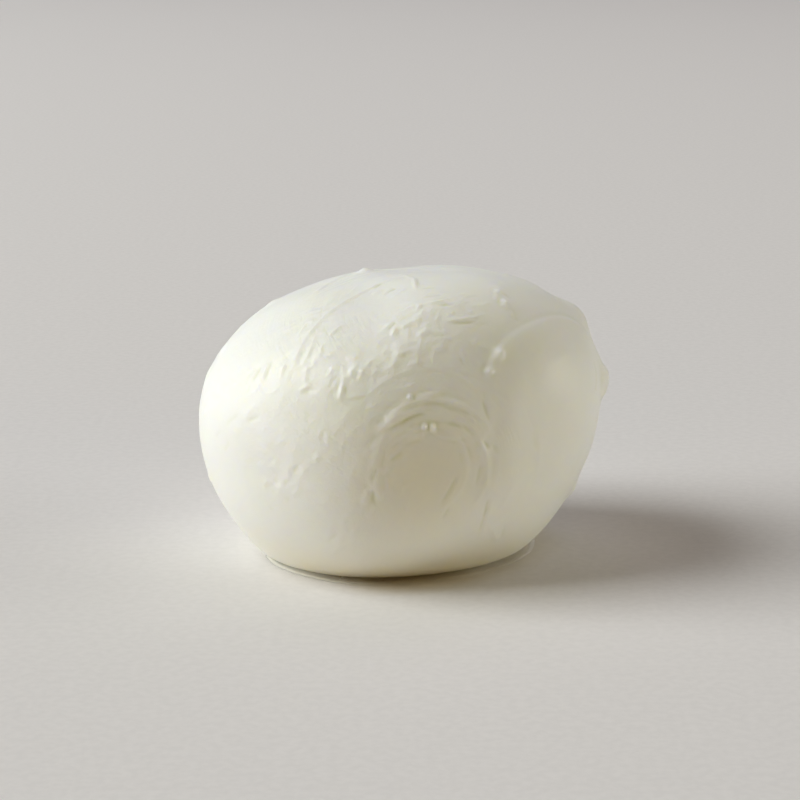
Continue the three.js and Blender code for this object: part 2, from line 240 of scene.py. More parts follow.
# Flows: the finest drawn strands, round the circles of a place. Each has its own share on
# the skin, and the curd's material draws it.
FLOWS = [  # name, place, radii, arc, width, run, strength
    ("swirl_flow", (9.5, -7), (6.0, 17.5), (10, 150), 0.50, 4.0, 0.6),
    ("slant_flow", (24, -17), (18.0, 38.0), (92, 160), 0.55, 1.5, 0.5),
    ("low_flow", (-73, 28), (16.0, 40.0), (-60, 10), 0.60, 1.8, 0.3),
    ("crown_flow", (13, 50), (9.0, 34.0), (50, 240), 0.60, 6.0, 0.5),
    ("back_flow", (200, -4), (5.0, 30.0), (0, 180), 0.65, 4.0, 0.7),
    ("left_flow", (-115, -14), (5.0, 22.0), (0, 170), 0.65, 4.0, 0.6),
    ("right_flow", (125, -4), (5.0, 24.0), (-90, 120), 0.65, 4.0, 0.6),
]
FLOW_EDGE = 4.0  # how softly a flow fades past its radii, and past the ends of its arc
FLOW_END = 30.0

# Painted shade patches: hollows painted darker and warmer, where shade falls.
PAINTED_SHADE_PATCHES = [  # name, place, reach, share of the painted foot shade colour, share of the painted olive crease shade
    ("swirl hollow", (7, -8.5), 6.5, 0.5, 0.0),
    ("band foot", (-14, 13), 3.5, 0.0, 0.3),
    ("lobe head", (35, 31), 4.0, 0.0, 0.2),
]

# Flecks and strokes: single flakes, ledges, beads and nicks, each lying where the studio camera
# sees it, in pixels of its square view. Half widths and rises are millimetres.
FLECKS = [  # name, x, y, bearing, length, half width, rise
    ("bright crag", 345.5, 391.5, 78, 13, 0.27, 0.29),
    ("second crag", 364.5, 376.5, 68, 13, 0.27, 0.15),
    ("third crag", 358, 380, 112, 9, 0.24, 0.09),
    ("short crag", 355.5, 373.5, 80, 7, 0.24, 0.1),
    ("upper crag", 347, 371, 90, 7, 0.24, 0.06),
    ("leaning crag", 348, 381, 112, 6, 0.24, 0.05),
    ("left crag", 334, 372.5, 55, 11, 0.26, 0.09),
    ("low left crag", 339, 384.5, 55, 10, 0.26, 0.1),
    ("low left nib", 334, 391, 45, 7, 0.24, 0.07),
    ("corner crag", 308, 387.5, 25, 11, 0.27, 0.15),
    ("corner nick", 318, 389.5, 8, 17, 0.27, -0.05),
    ("upper ledge", 358, 357.5, 8, 13, 0.26, 0.09),
    ("brow crag", 389, 350.5, 50, 10, 0.26, 0.1),
    ("brow nick", 394, 358, 60, 11, 0.27, -0.05),
    ("middle nick", 377, 361, 70, 15, 0.31, -0.06),
    ("middle crag", 385, 370, 18, 13, 0.29, 0.09),
    ("under nick", 391, 374.5, 22, 15, 0.26, -0.06),
    ("right crag", 399, 363, 50, 11, 0.26, 0.07),
    ("right nib", 405, 352.5, 25, 9, 0.24, 0.07),
    ("right nick", 412, 354.5, 22, 15, 0.26, -0.07),
    ("far crag", 419, 361.5, 35, 13, 0.29, 0.08),
    ("faint crag", 396, 381, 15, 11, 0.26, 0.05),
    ("faint nib", 396, 388, 45, 7, 0.24, 0.04),
    ("under hollow", 374, 377, 75, 13, 0.29, -0.05),
    ("lower ledge", 361, 395.5, 4, 15, 0.27, 0.08),
    ("lower nick", 362, 399.5, 6, 16, 0.29, -0.06),
    ("lower turn", 372, 390, 50, 9, 0.27, -0.04),
    ("left strand a", 313, 352, 66, 15, 0.27, 0.12),
    ("left strand b", 305.5, 358, 66, 19, 0.29, -0.04),
    ("left strand c", 309, 375, 84, 14, 0.29, 0.1),
    ("left strand d", 325, 352, 74, 13, 0.26, 0.1),
    ("left strand e", 319, 360, 72, 14, 0.27, 0.07),
    ("left nick", 304, 365, 80, 12, 0.27, -0.04),
    ("left nib", 318, 340, 70, 10, 0.27, 0.08),
    ("upper fleck a", 397, 332, 62, 8, 0.24, 0.18),
    ("upper fleck b", 391, 325.5, 40, 13, 0.32, 0.14),
    ("upper fleck c", 411, 323.5, 30, 11, 0.27, 0.15),
    ("upper nick a", 404, 331, 50, 9, 0.26, -0.09),
    ("upper fleck d", 411, 333, 80, 9, 0.32, 0.09),
    ("upper fleck e", 427, 330.5, 35, 13, 0.27, 0.14),
    ("upper fleck f", 424, 343, 80, 14, 0.29, 0.09),
    ("crown ledge a", 440, 301.5, 11, 22, 0.27, 0.2),
    ("crown nick a", 437, 296.5, 9, 18, 0.24, -0.09),
    ("crown nick b", 450, 305.5, 5, 13, 0.26, -0.14),
    ("crown ledge b", 467, 318.5, 7, 27, 0.26, 0.2),
    ("crown nick c", 468, 323, 1, 18, 0.26, -0.14),
    ("crown speck a", 455, 313, 0, 5, 0.26, 0.15),
    ("crown speck b", 475, 311.5, 0, 5, 0.24, 0.12),
    ("crown speck c", 421.5, 307.5, 70, 7, 0.26, 0.17),
    ("crown speck d", 425, 313, 80, 6, 0.24, 0.12),
    ("crown nub a", 417.5, 284.5, 100, 8, 0.27, 0.22),
    ("crown nub b", 411, 277.5, 160, 12, 0.27, 0.15),
    ("crown nick d", 433, 288.5, 5, 14, 0.27, -0.11),
    ("crown nick e", 383, 285, 30, 9, 0.27, -0.08),
    ("crown nick f", 395, 290.5, 22, 13, 0.26, -0.09),
    ("crown fleck g", 403, 292, 32, 13, 0.27, 0.12),
    ("crown fleck h", 389, 292, 32, 13, 0.27, 0.11),
    ("ledge c", 443, 347.5, 4, 11, 0.26, 0.15),
    ("rib a", 437, 357, 86, 10, 0.26, 0.11),
    ("ledge d", 452, 337.5, 0, 9, 0.24, 0.12),
    ("rib b", 467.5, 357, 110, 17, 0.27, 0.09),
    ("shoulder bead", 500, 292.5, 80, 4, 0.34, 0.34),
    ("shoulder bead tail", 499, 298, 85, 6, 0.26, 0.15),
    ("shoulder bead low", 507.5, 304.5, 110, 8, 0.32, 0.3),
    ("shoulder speck", 515, 315, 100, 6, 0.26, 0.12),
    ("swirl bead", 437, 426, 0, 4, 0.34, 0.75),
    ("swirl bead small", 429, 425.5, 0, 3, 0.3, 0.6),
    ("swirl tail", 416, 428.5, 15, 13, 0.26, 0.13),
    ("swirl rim", 458, 433.5, -3, 20, 0.29, 0.1),
    ("brow bead", 414.5, 396.5, 0, 3, 0.26, 0.32),
    ("brow rib", 433, 394.5, 8, 20, 0.27, 0.13),
    ("swirl nick f", 434, 409.5, 8, 9, 0.24, -0.06),
    ("right nick a", 482, 476, 80, 14, 0.26, -0.04),
    ("right nick b", 491, 508, 76, 16, 0.27, -0.1),
    ("inner fleck a", 405, 490, 84, 11, 0.29, 0.11),
    ("inner fleck b", 383, 497, 84, 10, 0.29, 0.1),
    ("left drip a", 369, 498, 76, 14, 0.32, 0.16),
    ("ring west", 322, 436, 85, 11, 0.29, 0.11),
    ("ring east", 330, 438, 85, 9, 0.29, 0.1),
    ("ring north", 326, 430, 15, 7, 0.27, 0.1),
    ("leaf west", 253, 378, 62, 15, 0.29, 0.13),
    ("leaf east", 268, 370, 68, 15, 0.26, 0.15),
    ("leaf nick", 259, 374, 60, 16, 0.34, -0.13),
    ("cheek mark a", 238, 430, 48, 10, 0.27, 0.07),
    ("cheek mark b", 250, 413, 50, 12, 0.27, 0.07),
    ("low mark a", 282, 490, 50, 12, 0.34, 0.1),
    ("low mark b", 299, 492, 52, 12, 0.31, 0.11),
    ("low mark c", 290, 478, 60, 8, 0.29, 0.08),
    ("low nick", 275, 486, 55, 14, 0.34, -0.05),
    ("fold tick a", 312, 466, 50, 10, 0.27, 0.05),
    ("fold tick b", 306, 474, 50, 9, 0.27, 0.04),
    ("fold tick c", 320, 455, 45, 7, 0.25, 0.07),
    ("glint a", 503, 352.5, 40, 5, 0.24, 0.16),
    ("glint b", 492, 371.7, 30, 5, 0.24, 0.14),
    ("glint c", 414, 396.5, 20, 5, 0.24, 0.12),
    ("glint d", 506.6, 304.4, 60, 6, 0.26, 0.12),
    ("glint e", 427.7, 426, 0, 4, 0.24, 0.14),
    ("flap rim", 604, 381, 90, 30, 1.3, 0.7),
    ("edge nub a", 225, 347, 50, 12, 0.8, 0.22),
    ("edge nub b", 206.5, 386, 90, 7, 0.6, 0.15),
    ("edge nub c", 205.5, 413, 90, 7, 0.6, 0.12),
    ("edge nub d", 211, 478, 100, 8, 0.6, 0.15),
    ("far crag low", 421, 362, 60, 7, 0.24, 0.12),
]
STROKES = {  # start, middle, end, half width, rise
    "swirl ridges": [
        ((454, 400), (463.7, 402.6), (471, 406.6), 0.22, 0.12),
        ((471, 415), (475, 418), (478.5, 422.5), 0.24, 0.13),
        ((410.8, 433), (417, 429.2), (424, 427.6), 0.24, 0.16),
        ((440, 433.5), (453, 437), (467, 436.5), 0.24, 0.15),
        ((426, 431.5), (425.4, 434.5), (424.5, 438), 0.22, 0.08),
        ((398, 450.7), (402, 446.5), (406.5, 443.5), 0.24, 0.1),
        ((405, 460), (407, 456), (410, 452), 0.24, 0.1),
        ((370.8, 452.3), (377.2, 446.7), (385.2, 441), 0.26, 0.1),
        ((379, 417), (383, 414), (388, 412.5), 0.24, 0.08),
        ((380.4, 476), (383.5, 471.5), (387, 467.5), 0.22, 0.12),
        ((386, 474), (389, 470), (392, 465.5), 0.22, 0.09),
        ((407.6, 486.5), (412, 484), (417.2, 481), 0.24, 0.07),
        ((483.2, 464), (484.2, 454), (484.5, 444), 0.26, 0.07),
        ((497.4, 394.6), (502, 399.5), (508, 405), 0.24, 0.08),
        ((443, 411), (452, 412), (461, 415), 0.24, 0.08),
        ((480, 436), (486, 446), (490, 456), 0.24, 0.09),
        ((437, 419), (446, 418), (455, 420), 0.24, 0.1),
        ((459, 427), (465, 430), (470, 434.5), 0.22, 0.08),
        ((394, 437), (399, 432), (405, 427.5), 0.24, 0.08),
        ((386, 430), (392, 424.5), (399, 420), 0.24, 0.08),
    ],
    "swirl nicks": [
        ((410.8, 420.3), (418, 415.8), (431.7, 413), 0.24, -0.12),
        ((401.2, 431.5), (406, 424.5), (412.4, 419), 0.24, -0.1),
        ((465, 422.5), (473, 430), (480, 437.5), 0.26, -0.15),
        ((486, 440.5), (489.5, 444), (493, 448), 0.26, -0.14),
        ((498, 445), (500.5, 450), (502.5, 456), 0.26, -0.09),
        ((487.8, 394.6), (488, 405.8), (492, 421), 0.27, -0.12),
        ((409.2, 445), (417, 442), (425.3, 440.3), 0.26, -0.09),
        ((393.2, 459.5), (399.5, 457.5), (405.5, 452.5), 0.27, -0.1),
        ((382, 468.3), (378, 475), (375.6, 481.2), 0.27, -0.11),
        ((380.4, 490.8), (376.5, 498), (378.8, 507), 0.27, -0.09),
        ((459, 480.5), (453.5, 491), (445, 504.5), 0.24, -0.17),
        ((452.5, 509.5), (449.5, 514.5), (446, 519.6), 0.22, -0.11),
        ((484.5, 466.7), (483, 477), (479.7, 487.6), 0.22, -0.08),
        ((492.6, 497.2), (489.4, 513.2), (484, 530), 0.22, -0.07),
        ((382, 422.4), (386, 421), (391, 420), 0.26, -0.07),
        ((366.5, 407), (371, 404), (375.5, 402), 0.26, -0.07),
        ((425, 403), (434, 401.5), (443, 402.5), 0.26, -0.06),
        ((452, 424), (459, 425.5), (465, 429), 0.24, -0.08),
        ((372, 444), (378, 438.5), (385, 433.5), 0.24, -0.06),
        ((391, 446), (396, 440.5), (402, 436), 0.24, -0.06),
        ((470, 446), (472.5, 452), (474, 459), 0.24, -0.06),
        ((463, 452), (464.5, 458), (464.5, 464), 0.24, -0.06),
    ],
    "lobe seam": [
        ((508, 384), (509, 430), (506, 490), 1.8, 0.2),
        ((493, 380), (492, 390), (493, 402), 0.4, -0.1),
        ((497, 384), (497, 430), (494, 490), 1.3, -0.2),
    ],
    "left cheek ridges": [
        ((266, 451.5), (269, 451), (272, 452.2), 0.26, 0.08),
        ((266.4, 486), (268.5, 483), (270.6, 480), 0.26, 0.09),
        ((289.5, 475), (290.5, 472), (291.8, 468.5), 0.26, 0.09),
        ((316.5, 461), (319.5, 458.5), (322.8, 456), 0.24, 0.12),
        ((305, 473.5), (306.5, 471), (308.6, 468.5), 0.24, 0.09),
        ((250, 372), (252, 370.5), (254.5, 369), 0.22, 0.08),
        ((282.5, 364), (284, 359.5), (286, 355), 0.24, 0.06),
        ((237, 437), (240, 433), (243, 428.5), 0.27, 0.06),
    ],
    "left cheek nicks": [
        ((268.5, 381), (271, 371), (274.8, 361), 0.27, -0.11),
        ((250.2, 393.3), (251.5, 388.5), (253, 383.5), 0.27, -0.06),
        ((229.5, 424), (235, 419.5), (241, 415.5), 0.27, -0.08),
        ((250, 422), (256, 419.5), (262.5, 416.5), 0.22, -0.08),
        ((218.7, 438), (221, 434), (223.6, 431), 0.27, -0.06),
        ((227.8, 452.2), (230, 447), (232, 441), 0.27, -0.06),
        ((274.5, 482), (276, 477), (277, 472), 0.75, -0.12),
        ((259, 459.5), (271, 460), (283, 457.5), 0.6, -0.08),
        ((288.8, 501.3), (291, 500), (293, 498.5), 0.36, -0.06),
        ((273.4, 507), (276, 508), (279, 508.3), 0.36, -0.06),
        ((286.5, 487), (289, 483.5), (292, 479.5), 0.27, -0.08),
        ((276, 493), (279, 491.5), (281.8, 490), 0.27, -0.07),
        ((297, 472), (299, 470), (301.4, 467.6), 0.27, -0.08),
        ((322.5, 431.5), (322.8, 434.5), (323, 438), 0.5, -0.08),
        ((311, 424), (311, 419.5), (312.5, 414), 0.26, -0.06),
    ],
    "hatch below the torn band ridges": [
        ((330, 432), (334, 427), (339, 423), 0.22, 0.024),
        ((341, 431), (346, 425.5), (352, 421), 0.22, 0.024),
        ((352, 434), (358, 428.5), (364, 424), 0.22, 0.024),
        ((350, 412), (355, 408.5), (361, 405.5), 0.22, 0.024),
        ((365, 425), (371, 419.5), (378, 415), 0.22, 0.024),
        ((369, 437), (375, 432), (381, 428), 0.22, 0.024),
        ((376, 408), (383, 404), (390, 401.5), 0.22, 0.024),
        ((391, 416), (398, 411.5), (406, 408), 0.22, 0.024),
        ((358, 446), (363, 440.5), (368, 436), 0.22, 0.024),
        ((350, 455), (355, 449.5), (360, 445), 0.22, 0.024),
    ],
    "hatch below the torn band nicks": [
        ((334, 444), (338, 438.5), (342, 433.5), 0.22, -0.024),
        ((346, 438), (351, 432), (357, 427), 0.22, -0.024),
        ((361, 417), (367, 412.5), (373, 409.5), 0.22, -0.024),
        ((371, 431), (377, 425.5), (384, 421.5), 0.22, -0.024),
        ((385, 411), (392, 407.5), (400, 405), 0.22, -0.024),
        ((362, 452), (367, 446.5), (373, 441.5), 0.22, -0.018),
        ((345, 461), (350, 455.5), (355, 451), 0.22, -0.018),
    ],
    "upper left ridges": [
        ((301, 340), (306, 330), (312, 321), 0.22, 0.11),
        ((333, 338), (339, 331), (346, 325), 0.22, 0.12),
        ((283, 378), (286, 369), (290, 361), 0.24, 0.12),
        ((318, 293), (350, 279), (385, 271), 0.26, 0.08),
    ],
    "upper left nicks": [
        ((311, 338), (316, 329), (322, 321), 0.22, -0.05),
        ((341, 342), (347, 335.5), (354, 330), 0.22, -0.05),
        ((292, 384), (295, 376), (298, 369), 0.24, -0.05),
        ((320, 296), (352, 282), (388, 274), 0.24, -0.06),
    ],
    "crown ridges": [
        ((377, 293.3), (380, 291), (383.6, 289.2), 0.24, 0.1),
        ((439, 322), (441, 318), (442, 314), 0.22, 0.08),
        ((428, 352), (429, 346), (431, 341), 0.22, 0.07),
        ((456, 350), (459, 345.5), (463, 342), 0.22, 0.07),
        ((477, 346), (480, 340.5), (484, 336), 0.22, 0.07),
        ((484, 308), (488, 304.5), (493, 302.5), 0.22, 0.07),
        ((458, 298), (463, 295), (469, 293.5), 0.22, 0.07),
    ],
    "crown nicks": [
        ((378.5, 288.2), (382, 286), (386, 284.4), 0.24, -0.08),
        ((391.5, 291.4), (395, 289.8), (399.3, 288.6), 0.24, -0.12),
        ((404, 321.4), (407, 319), (410, 316.5), 0.24, -0.09),
        ((393, 329.2), (396.5, 326), (400.4, 322.6), 0.24, -0.09),
        ((405, 311.2), (409.5, 307.5), (414.8, 304.8), 0.24, -0.08),
        ((420.6, 281.6), (422, 283.6), (423.4, 286), 0.22, -0.06),
        ((508, 295), (510.5, 297), (513.4, 299.6), 0.24, -0.09),
        ((516.6, 311.5), (518.6, 316.5), (520.6, 322), 0.26, -0.09),
        ((463.9, 359), (467.5, 363), (471, 367.5), 0.24, -0.06),
        ((452, 370.5), (468, 374.5), (482, 380), 0.24, -0.07),
        ((444, 327), (446, 332), (447, 337), 0.22, -0.06),
        ((436, 340), (440, 337), (445, 335.5), 0.22, -0.05),
        ((482, 330), (486, 326), (491, 323.5), 0.22, -0.05),
        ((470, 300), (475, 297.5), (481, 296.5), 0.22, -0.05),
    ],
    "foot ridges": [
        ((424, 545), (430, 541), (437, 538), 0.26, 0.07),
        ((344, 527), (348, 521), (352, 516), 0.26, 0.08),
        ((336, 553), (341, 549), (346, 546), 0.27, 0.08),
        ((497, 541), (500, 537), (503, 534), 0.27, 0.08),
        ((494, 528), (497, 534), (500, 540), 0.29, 0.09),
        ((372, 519), (376, 513), (379, 507), 0.27, 0.07),
    ],
    "foot and edge nicks": [
        ((352, 534), (356, 528), (361, 523), 0.26, -0.05),
        ((331, 545), (335, 540), (340, 536), 0.27, -0.06),
        ((505, 536), (507, 530), (508, 524), 0.27, -0.06),
        ((597, 366), (599, 380), (597, 396), 0.3, -0.12),
    ],
}
MARK_SHIFT = (0.4, 0.8)  # half widths that a nick and a ridge lie below their pixels
MARK_TAPER = 0.45
MARK_SQUARENESS = 4
MARK_REACH = 3
SIGHT_STEPS = 40  # how many strides along its line of sight find a mark's place on the skin
SIGHT_STRIDE = 0.7

# ------------------------------------------------------------------ the whey
# Past the rim the section runs on as a very thin veil, out to twice the reach, that carries the painted
# contact shadow.
WHEY_SECTION = [  # share of the reach beyond the foot, share of the depth
    (-0.7, 0.0),
    (2.0, 0.0),
    (2.0, 0.03),
    (1.4, 0.05),
    (1.02, 0.1),
    (0.995, 0.3),
    (0.97, 0.6),
    (0.92, 0.85),
    (0.85, 0.97),
    (0.76, 1.0),
    (0.68, 1.0),
    (0.6, 1.0),
    (0.52, 1.0),
    (0.44, 1.0),
    (0.36, 1.0),
    (0.2, 1.0),
    (-0.7, 1.0),
]
WHEY_WANDER = [  # turns round the foot, share of the reach, bearing of the first crest
    (1, 0.22, -26),
    (2, 0.023, 61),
    (3, 0.125, 16),
    (4, 0.093, 4),
    (9, 0.02, 12),
]
WHEY_SHADOW_BEARING = 280  # bearing of the front, where the whey's tint paints the contact shadow darkest
WHEY_SHADOW_SPAN = (8, 44)  # how far round from there the painted shadow starts and ends to fade
WHEY_SHADOW_FADE = (0.5, 2.0)  # shares of the reach over which the painted shadow fades outwards, past the whey's edge
WHEY_RIGHT = (0.4, 0.2)  # least painted shadow tint, and least milkiness of the rim, on the right
WHEY_RIM_LEAST = 0.08
WHEY_LIT_BEARING = 212  # bearing of the lit left front, where the whey is milkiest and its rim takes a painted highlight
WHEY_MILKY_SPAN = (10, 55)
WHEY_RIM = (0.93, 0.09)  # place and width of the milky rim, partly a painted highlight, as shares of the reach
WHEY_MILKY_BODY = 0.6  # milkiness inside the rim, where the whey is milkiest, on the lit side
WHEY_CLIMB = (1.6, 3.1)  # millimetres beyond the foot over which it climbs the curd
WHEY_CLIMB_MILKY = (0.14, 0.75)  # its milkiness where it is clear and where it is milky; on the lit side it is painted lighter to fill the contact shade
WHEY_RIGHT_SPAN = (0.0, 0.6)  # cosines of the bearing where the right begins and is full
WHEY_TOP = (0.1, 0.4)  # shares of the depth between which its underside turns into its top
WHEY_RING = 10  # radius of the plain ring that is then fitted round the foot
WHEY_LIFT = 0.01  # gap that keeps the film off the floor
WHEY_STEPS = 240
WHEY_MERGE = 0.0001
FOOT_BEARING_STEP = 3.0

# ------------------------------------------------------------------ the finishes
# A scale is how many times a pattern repeats in a metre. Limits are the values of a pattern
# between which it takes effect.
CLOUD_SCALE = 90.0
CLOUD_DETAIL = 3.0
CLOUD_LIMITS = (0.35, 0.65)
CLOUD_SHADE = (0.985, 0.985, 0.955)  # how much of the skin colour is left in its clouds
# Painted shade: low down and in front, where the ball shades itself, the skin is painted darker and
# warmer.
FOOT_SHADE_HEIGHTS = (12, 1)  # where the foot starts to be painted darker and warmer, and where it is painted so in full
FOOT_SHADE_FRONTS = (-11, -20)  # the painted foot shade is full only in front of the second Y, and takes this share behind the first
FOOT_SHADE_BEHIND = 0.3  # and by this share behind the first
FOOT_SHADE_POWER = 2.2
FLOW_DETAIL = 2.5
FLOW_DISTORTION = 0.5
FLOW_PATCH_SCALE = 190.0
FLOW_PATCH_DETAIL = 2.0
FLOW_PATCH_LIMITS = (0.4, 0.62)
FLOW_PATCH_LEAST = 0.15
FLOW_VALLEYS = (-0.05, -0.18)  # depths of a drawn valley where its painted shade starts and is full
CURD_IOR = 1.38
GRAIN_SCALE = 900.0
GRAIN_DETAIL = 4.0
GRAIN_ROUGHNESS = 0.6
WORN_SCALE = 1400.0
WORN_DETAIL = 3.0
WORN_LIMITS = (0.3, 0.7)
WORN_SPREAD = (-0.06, 0.08)  # how far the roughness goes below and above its setting
WATER_IOR = 1.33
COAT_ROUGHNESS = 0.22
# Painted shade in creases: how far below the evened-out relief a point must lie to be painted olive and
# darker.
CREASE_ROUNDS = 14  # how many times the relief is evened out to compare the skin with
CREASE_STARTS = 0.015
CREASE_DEPTH = 0.13
WHEY_ROUGHNESS = 0.08
WHEY_FACING = 0.02  # share of the light that the film mirrors where it is seen straight on
WHEY_GRAZING_POWER = 5.0
MILK_ROUGHNESS = 0.3
SPECK_SCALE = 700.0
SPECK_DETAIL = 2.0
SPECK_LIMITS = (0.35, 0.65)
SPECK_SHADE = 0.962
FLOOR_ROUGHNESS = 0.75
FLOOR_SPECULAR = 0.25

# ------------------------------------------------------------------ the studio
LIGHTS = [  # name, place, side in metres, watts, colour
    ("key_light", (-88, 40), 2.6, 117.5, (0.97, 1.0, 0.99)),
    ("high_key_light", (-94, 46), 2.6, 20.0, (0.91, 1.0, 1.0)),
    ("low_left_light", (-90, 10), 2.0, 48.0, (0.97, 0.98, 1.0)),
    ("right_light", (90, 10), 2.0, 60.0, (1.0, 1.0, 0.93)),
    ("back_light", (180, 60), 2.0, 9.2, (0.98, 0.84, 1.0)),
    ("back_right_light", (135, 35), 2.0, 6.4, (0.97, 0.8, 1.0)),
    ("front_light", (-20, 10), 2.0, 7.6, (1.0, 0.46, 0.0)),
    ("front_right_light", (45, 10), 2.0, 10.1, (1.0, 0.73, 0.0)),
    ("top_light", (0, 85), 2.0, 5.5, (0.97, 0.83, 0.36)),
]
ROOM_COLOUR = (1.0, 0.98, 0.94)
FLOOR_SIDES = 96
CAMERA_CLIP = 10


# ------------------------------------------------------------------ what a user may change
def length(name, text, default, **limits):
    return bpy.props.FloatProperty(
        name=name, description=text, default=default, subtype="DISTANCE", unit="LENGTH", **limits
    )


def share(name, text, default, most=1.0):
    return bpy.props.FloatProperty(
        name=name, description=text, default=default, min=0.0, max=most, subtype="FACTOR"
    )


def colour(name, text, default):
    return bpy.props.FloatVectorProperty(
        name=name, description=text, default=default, size=3, min=0.0, max=1.0, subtype="COLOR"
    )


class CurdSettings(bpy.types.PropertyGroup):
    halvings: bpy.props.IntProperty(
        name="Skin detail",
        description="How many times each side of the starting cube is halved",
        default=7,
        min=3,
        max=7,
    )
    strand_share: share("Strands", "How strongly the drawn strands stand out", 1.0, 3.0)
    crumb_share: share("Crumbs", "How strongly the torn crumbs stand out", 1.0, 3.0)
    skin_colour: colour("Skin colour", "Colour of the curd's skin", (0.912, 0.92, 0.872))
    # painted shade: the olive colour painted into creases and tears, where shade falls
    crease_shade_colour: colour("Crease colour", "Colour in creases and tears", (0.73, 0.745, 0.56))
    # painted shade: the darker, warmer colour painted on the foot where the ball shades itself
    foot_shade_colour: colour("Foot colour", "Colour of the soaked foot", (0.84, 0.78, 0.58))
    scatter_share: share("Scatter", "Share of the light that travels inside the curd", 0.75)
    scatter: length("Scatter depth", "How far light travels inside the curd", 0.004, min=0.0)
    scatter_tint: bpy.props.FloatVectorProperty(
        name="Scatter tint",
        description="Share of the scatter depth in red, green and blue",
        default=(1.0, 0.9, 0.55),
        size=3,
        min=0.0,
    )
    roughness: share("Roughness", "Roughness of the skin", 0.5)
    moisture: share("Moisture", "How wet the skin looks", 0.22)
    grain: length("Grain height", "Height of the finest grain", 0.00002, min=0.0)
    torn_grain: length("Torn grain height", "Height of the grain of torn skin", 0.0001, min=0.0)
    torn_moisture: share("Torn moisture", "How much wetter torn skin looks", 0.3)
    flow_height: length("Flow height", "Height of the finest strands", 0.00020, min=0.0)
    # painted shade: how much olive shade is painted into the valleys of the finest strands
    flow_valley_shade: share("Flow tint", "How much the finest strands are tinted", 0.5)


class WheySettings(bpy.types.PropertyGroup):
    reach: length("Reach", "How far the whey reaches beyond the foot of the ball", 0.004, min=0.0)
    depth: length("Depth", "Thickness of the film", 0.00035, min=0.0)
    climb: length("Climb", "How far the film climbs the foot of the ball", 0.0007, min=0.0)
    # partly whey's own brown, mostly painted shadow: this tint darkens the floor round the foot
    tint: colour("Tint", "Colour that each face of the deepest whey gives the light", (0.89, 0.85, 0.76))
    # partly milky whey, partly painted highlight: the rim is whitest on the lit side
    milk_colour: colour("Milk colour", "Colour of the milky rim", (0.9, 0.89, 0.8))
    milkiness: share("Milkiness", "How milky the rim is", 0.8)


class StageSettings(bpy.types.PropertyGroup):
    floor_colour: colour("Floor colour", "Colour of the floor", (0.82, 0.795, 0.78))
    floor_radius: length("Floor radius", "Radius of the floor", 5.0, min=0.1)
    light_distance: length("Light distance", "From the ball to each light", 4.0, min=0.1)
    light_share: share("Light", "Strength of all the lights", 1.0, 5.0)
    room: bpy.props.FloatProperty(
        name="Room light", description="Strength of the even light", default=0.5, min=0.0
    )
    camera_distance: length("Camera distance", "From the ball to the camera", VIEW_DISTANCE * MM, min=0.05)
    camera_elevation: bpy.props.FloatProperty(
        name="Camera elevation",
        description="How far above the horizon the camera is",
        default=math.radians(VIEW_ELEVATION),
        subtype="ANGLE",
    )
    camera_aim: bpy.props.FloatVectorProperty(
        name="Camera aim",
        description="Point in the middle of the view",
        default=tuple(MM * c for c in VIEW_AIM),
        size=3,
    )
    lens: bpy.props.FloatProperty(
        name="Lens", description="Focal length of the camera", default=VIEW_LENS, unit="CAMERA"
    )


# ------------------------------------------------------------------ shape functions
def bell(x):
    return np.exp(-0.5 * x * x)


def smoothstep(x, low, high):
    t = np.clip((x - low) / (high - low), 0.0, 1.0)
    return t * t * (3.0 - 2.0 * t)


def between(limits, part):
    return limits[0] + (limits[1] - limits[0]) * part


def draws_from(seed, spread=7919, factor=16807, modulus=2147483647):
    """Repeatable draws between 0 and 1 from a whole-number seed."""
    state = seed * spread
    while True:
        state = state * factor % modulus
        yield state / modulus


def turn_from(bearing, middle):
    """Degrees from a bearing, between half a turn back and half a turn on."""
    return np.mod(bearing - middle + 180.0, 360.0) - 180.0


def direction_to(place):
    azimuth, elevation = np.radians(place)
    return np.array(
        [
            np.sin(azimuth) * np.cos(elevation),
            -np.cos(azimuth) * np.cos(elevation),
            np.sin(elevation),
        ]
    )


class Around:
    """Millimetres east and north of a place, for the skin points within reach of it."""

    def __init__(self, directions, place, reach=1000.0):
        azimuth = math.radians(place[0])
        out = direction_to(place)
        east = np.array([math.cos(azimuth), math.sin(azimuth), 0.0])
        north = np.cross(out, east)
        height = np.clip(directions @ out, -1.0, 1.0)
        self.near = np.nonzero(height >= math.cos(min(reach / SKIN_RADIUS, math.pi)))[0]
        angle = np.arccos(height[self.near])
        scale = SKIN_RADIUS * angle / np.maximum(np.sin(angle), TINY)
        self.x = scale * (directions[self.near] @ east)
        self.y = scale * (directions[self.near] @ north)

    def turned(self, bearing):
        b = math.radians(-bearing)
        return (
            self.x * math.cos(b) - self.y * math.sin(b),
            self.x * math.sin(b) + self.y * math.cos(b),
        )

    def polar(self):
        return np.hypot(self.x, self.y), np.degrees(np.arctan2(self.y, self.x))


def outside_span(bearing, start, end):
    past = np.mod(bearing - start, 360.0)
    span = end - start
    return np.where(
        past <= span, -np.minimum(past, span - past), np.minimum(past - span, 360.0 - past)
    )


def lap(across, lip=FOLD_LIP, fade=FOLD_FADE, trough=FOLD_TROUGH):
    """Height across a lapped edge: it climbs over the lip and sinks over the fade."""
    behind = np.maximum(across, 0.0) / fade
    return np.where(across < 0.0, bell(across / lip), (1.0 - trough * behind) * np.exp(-behind))


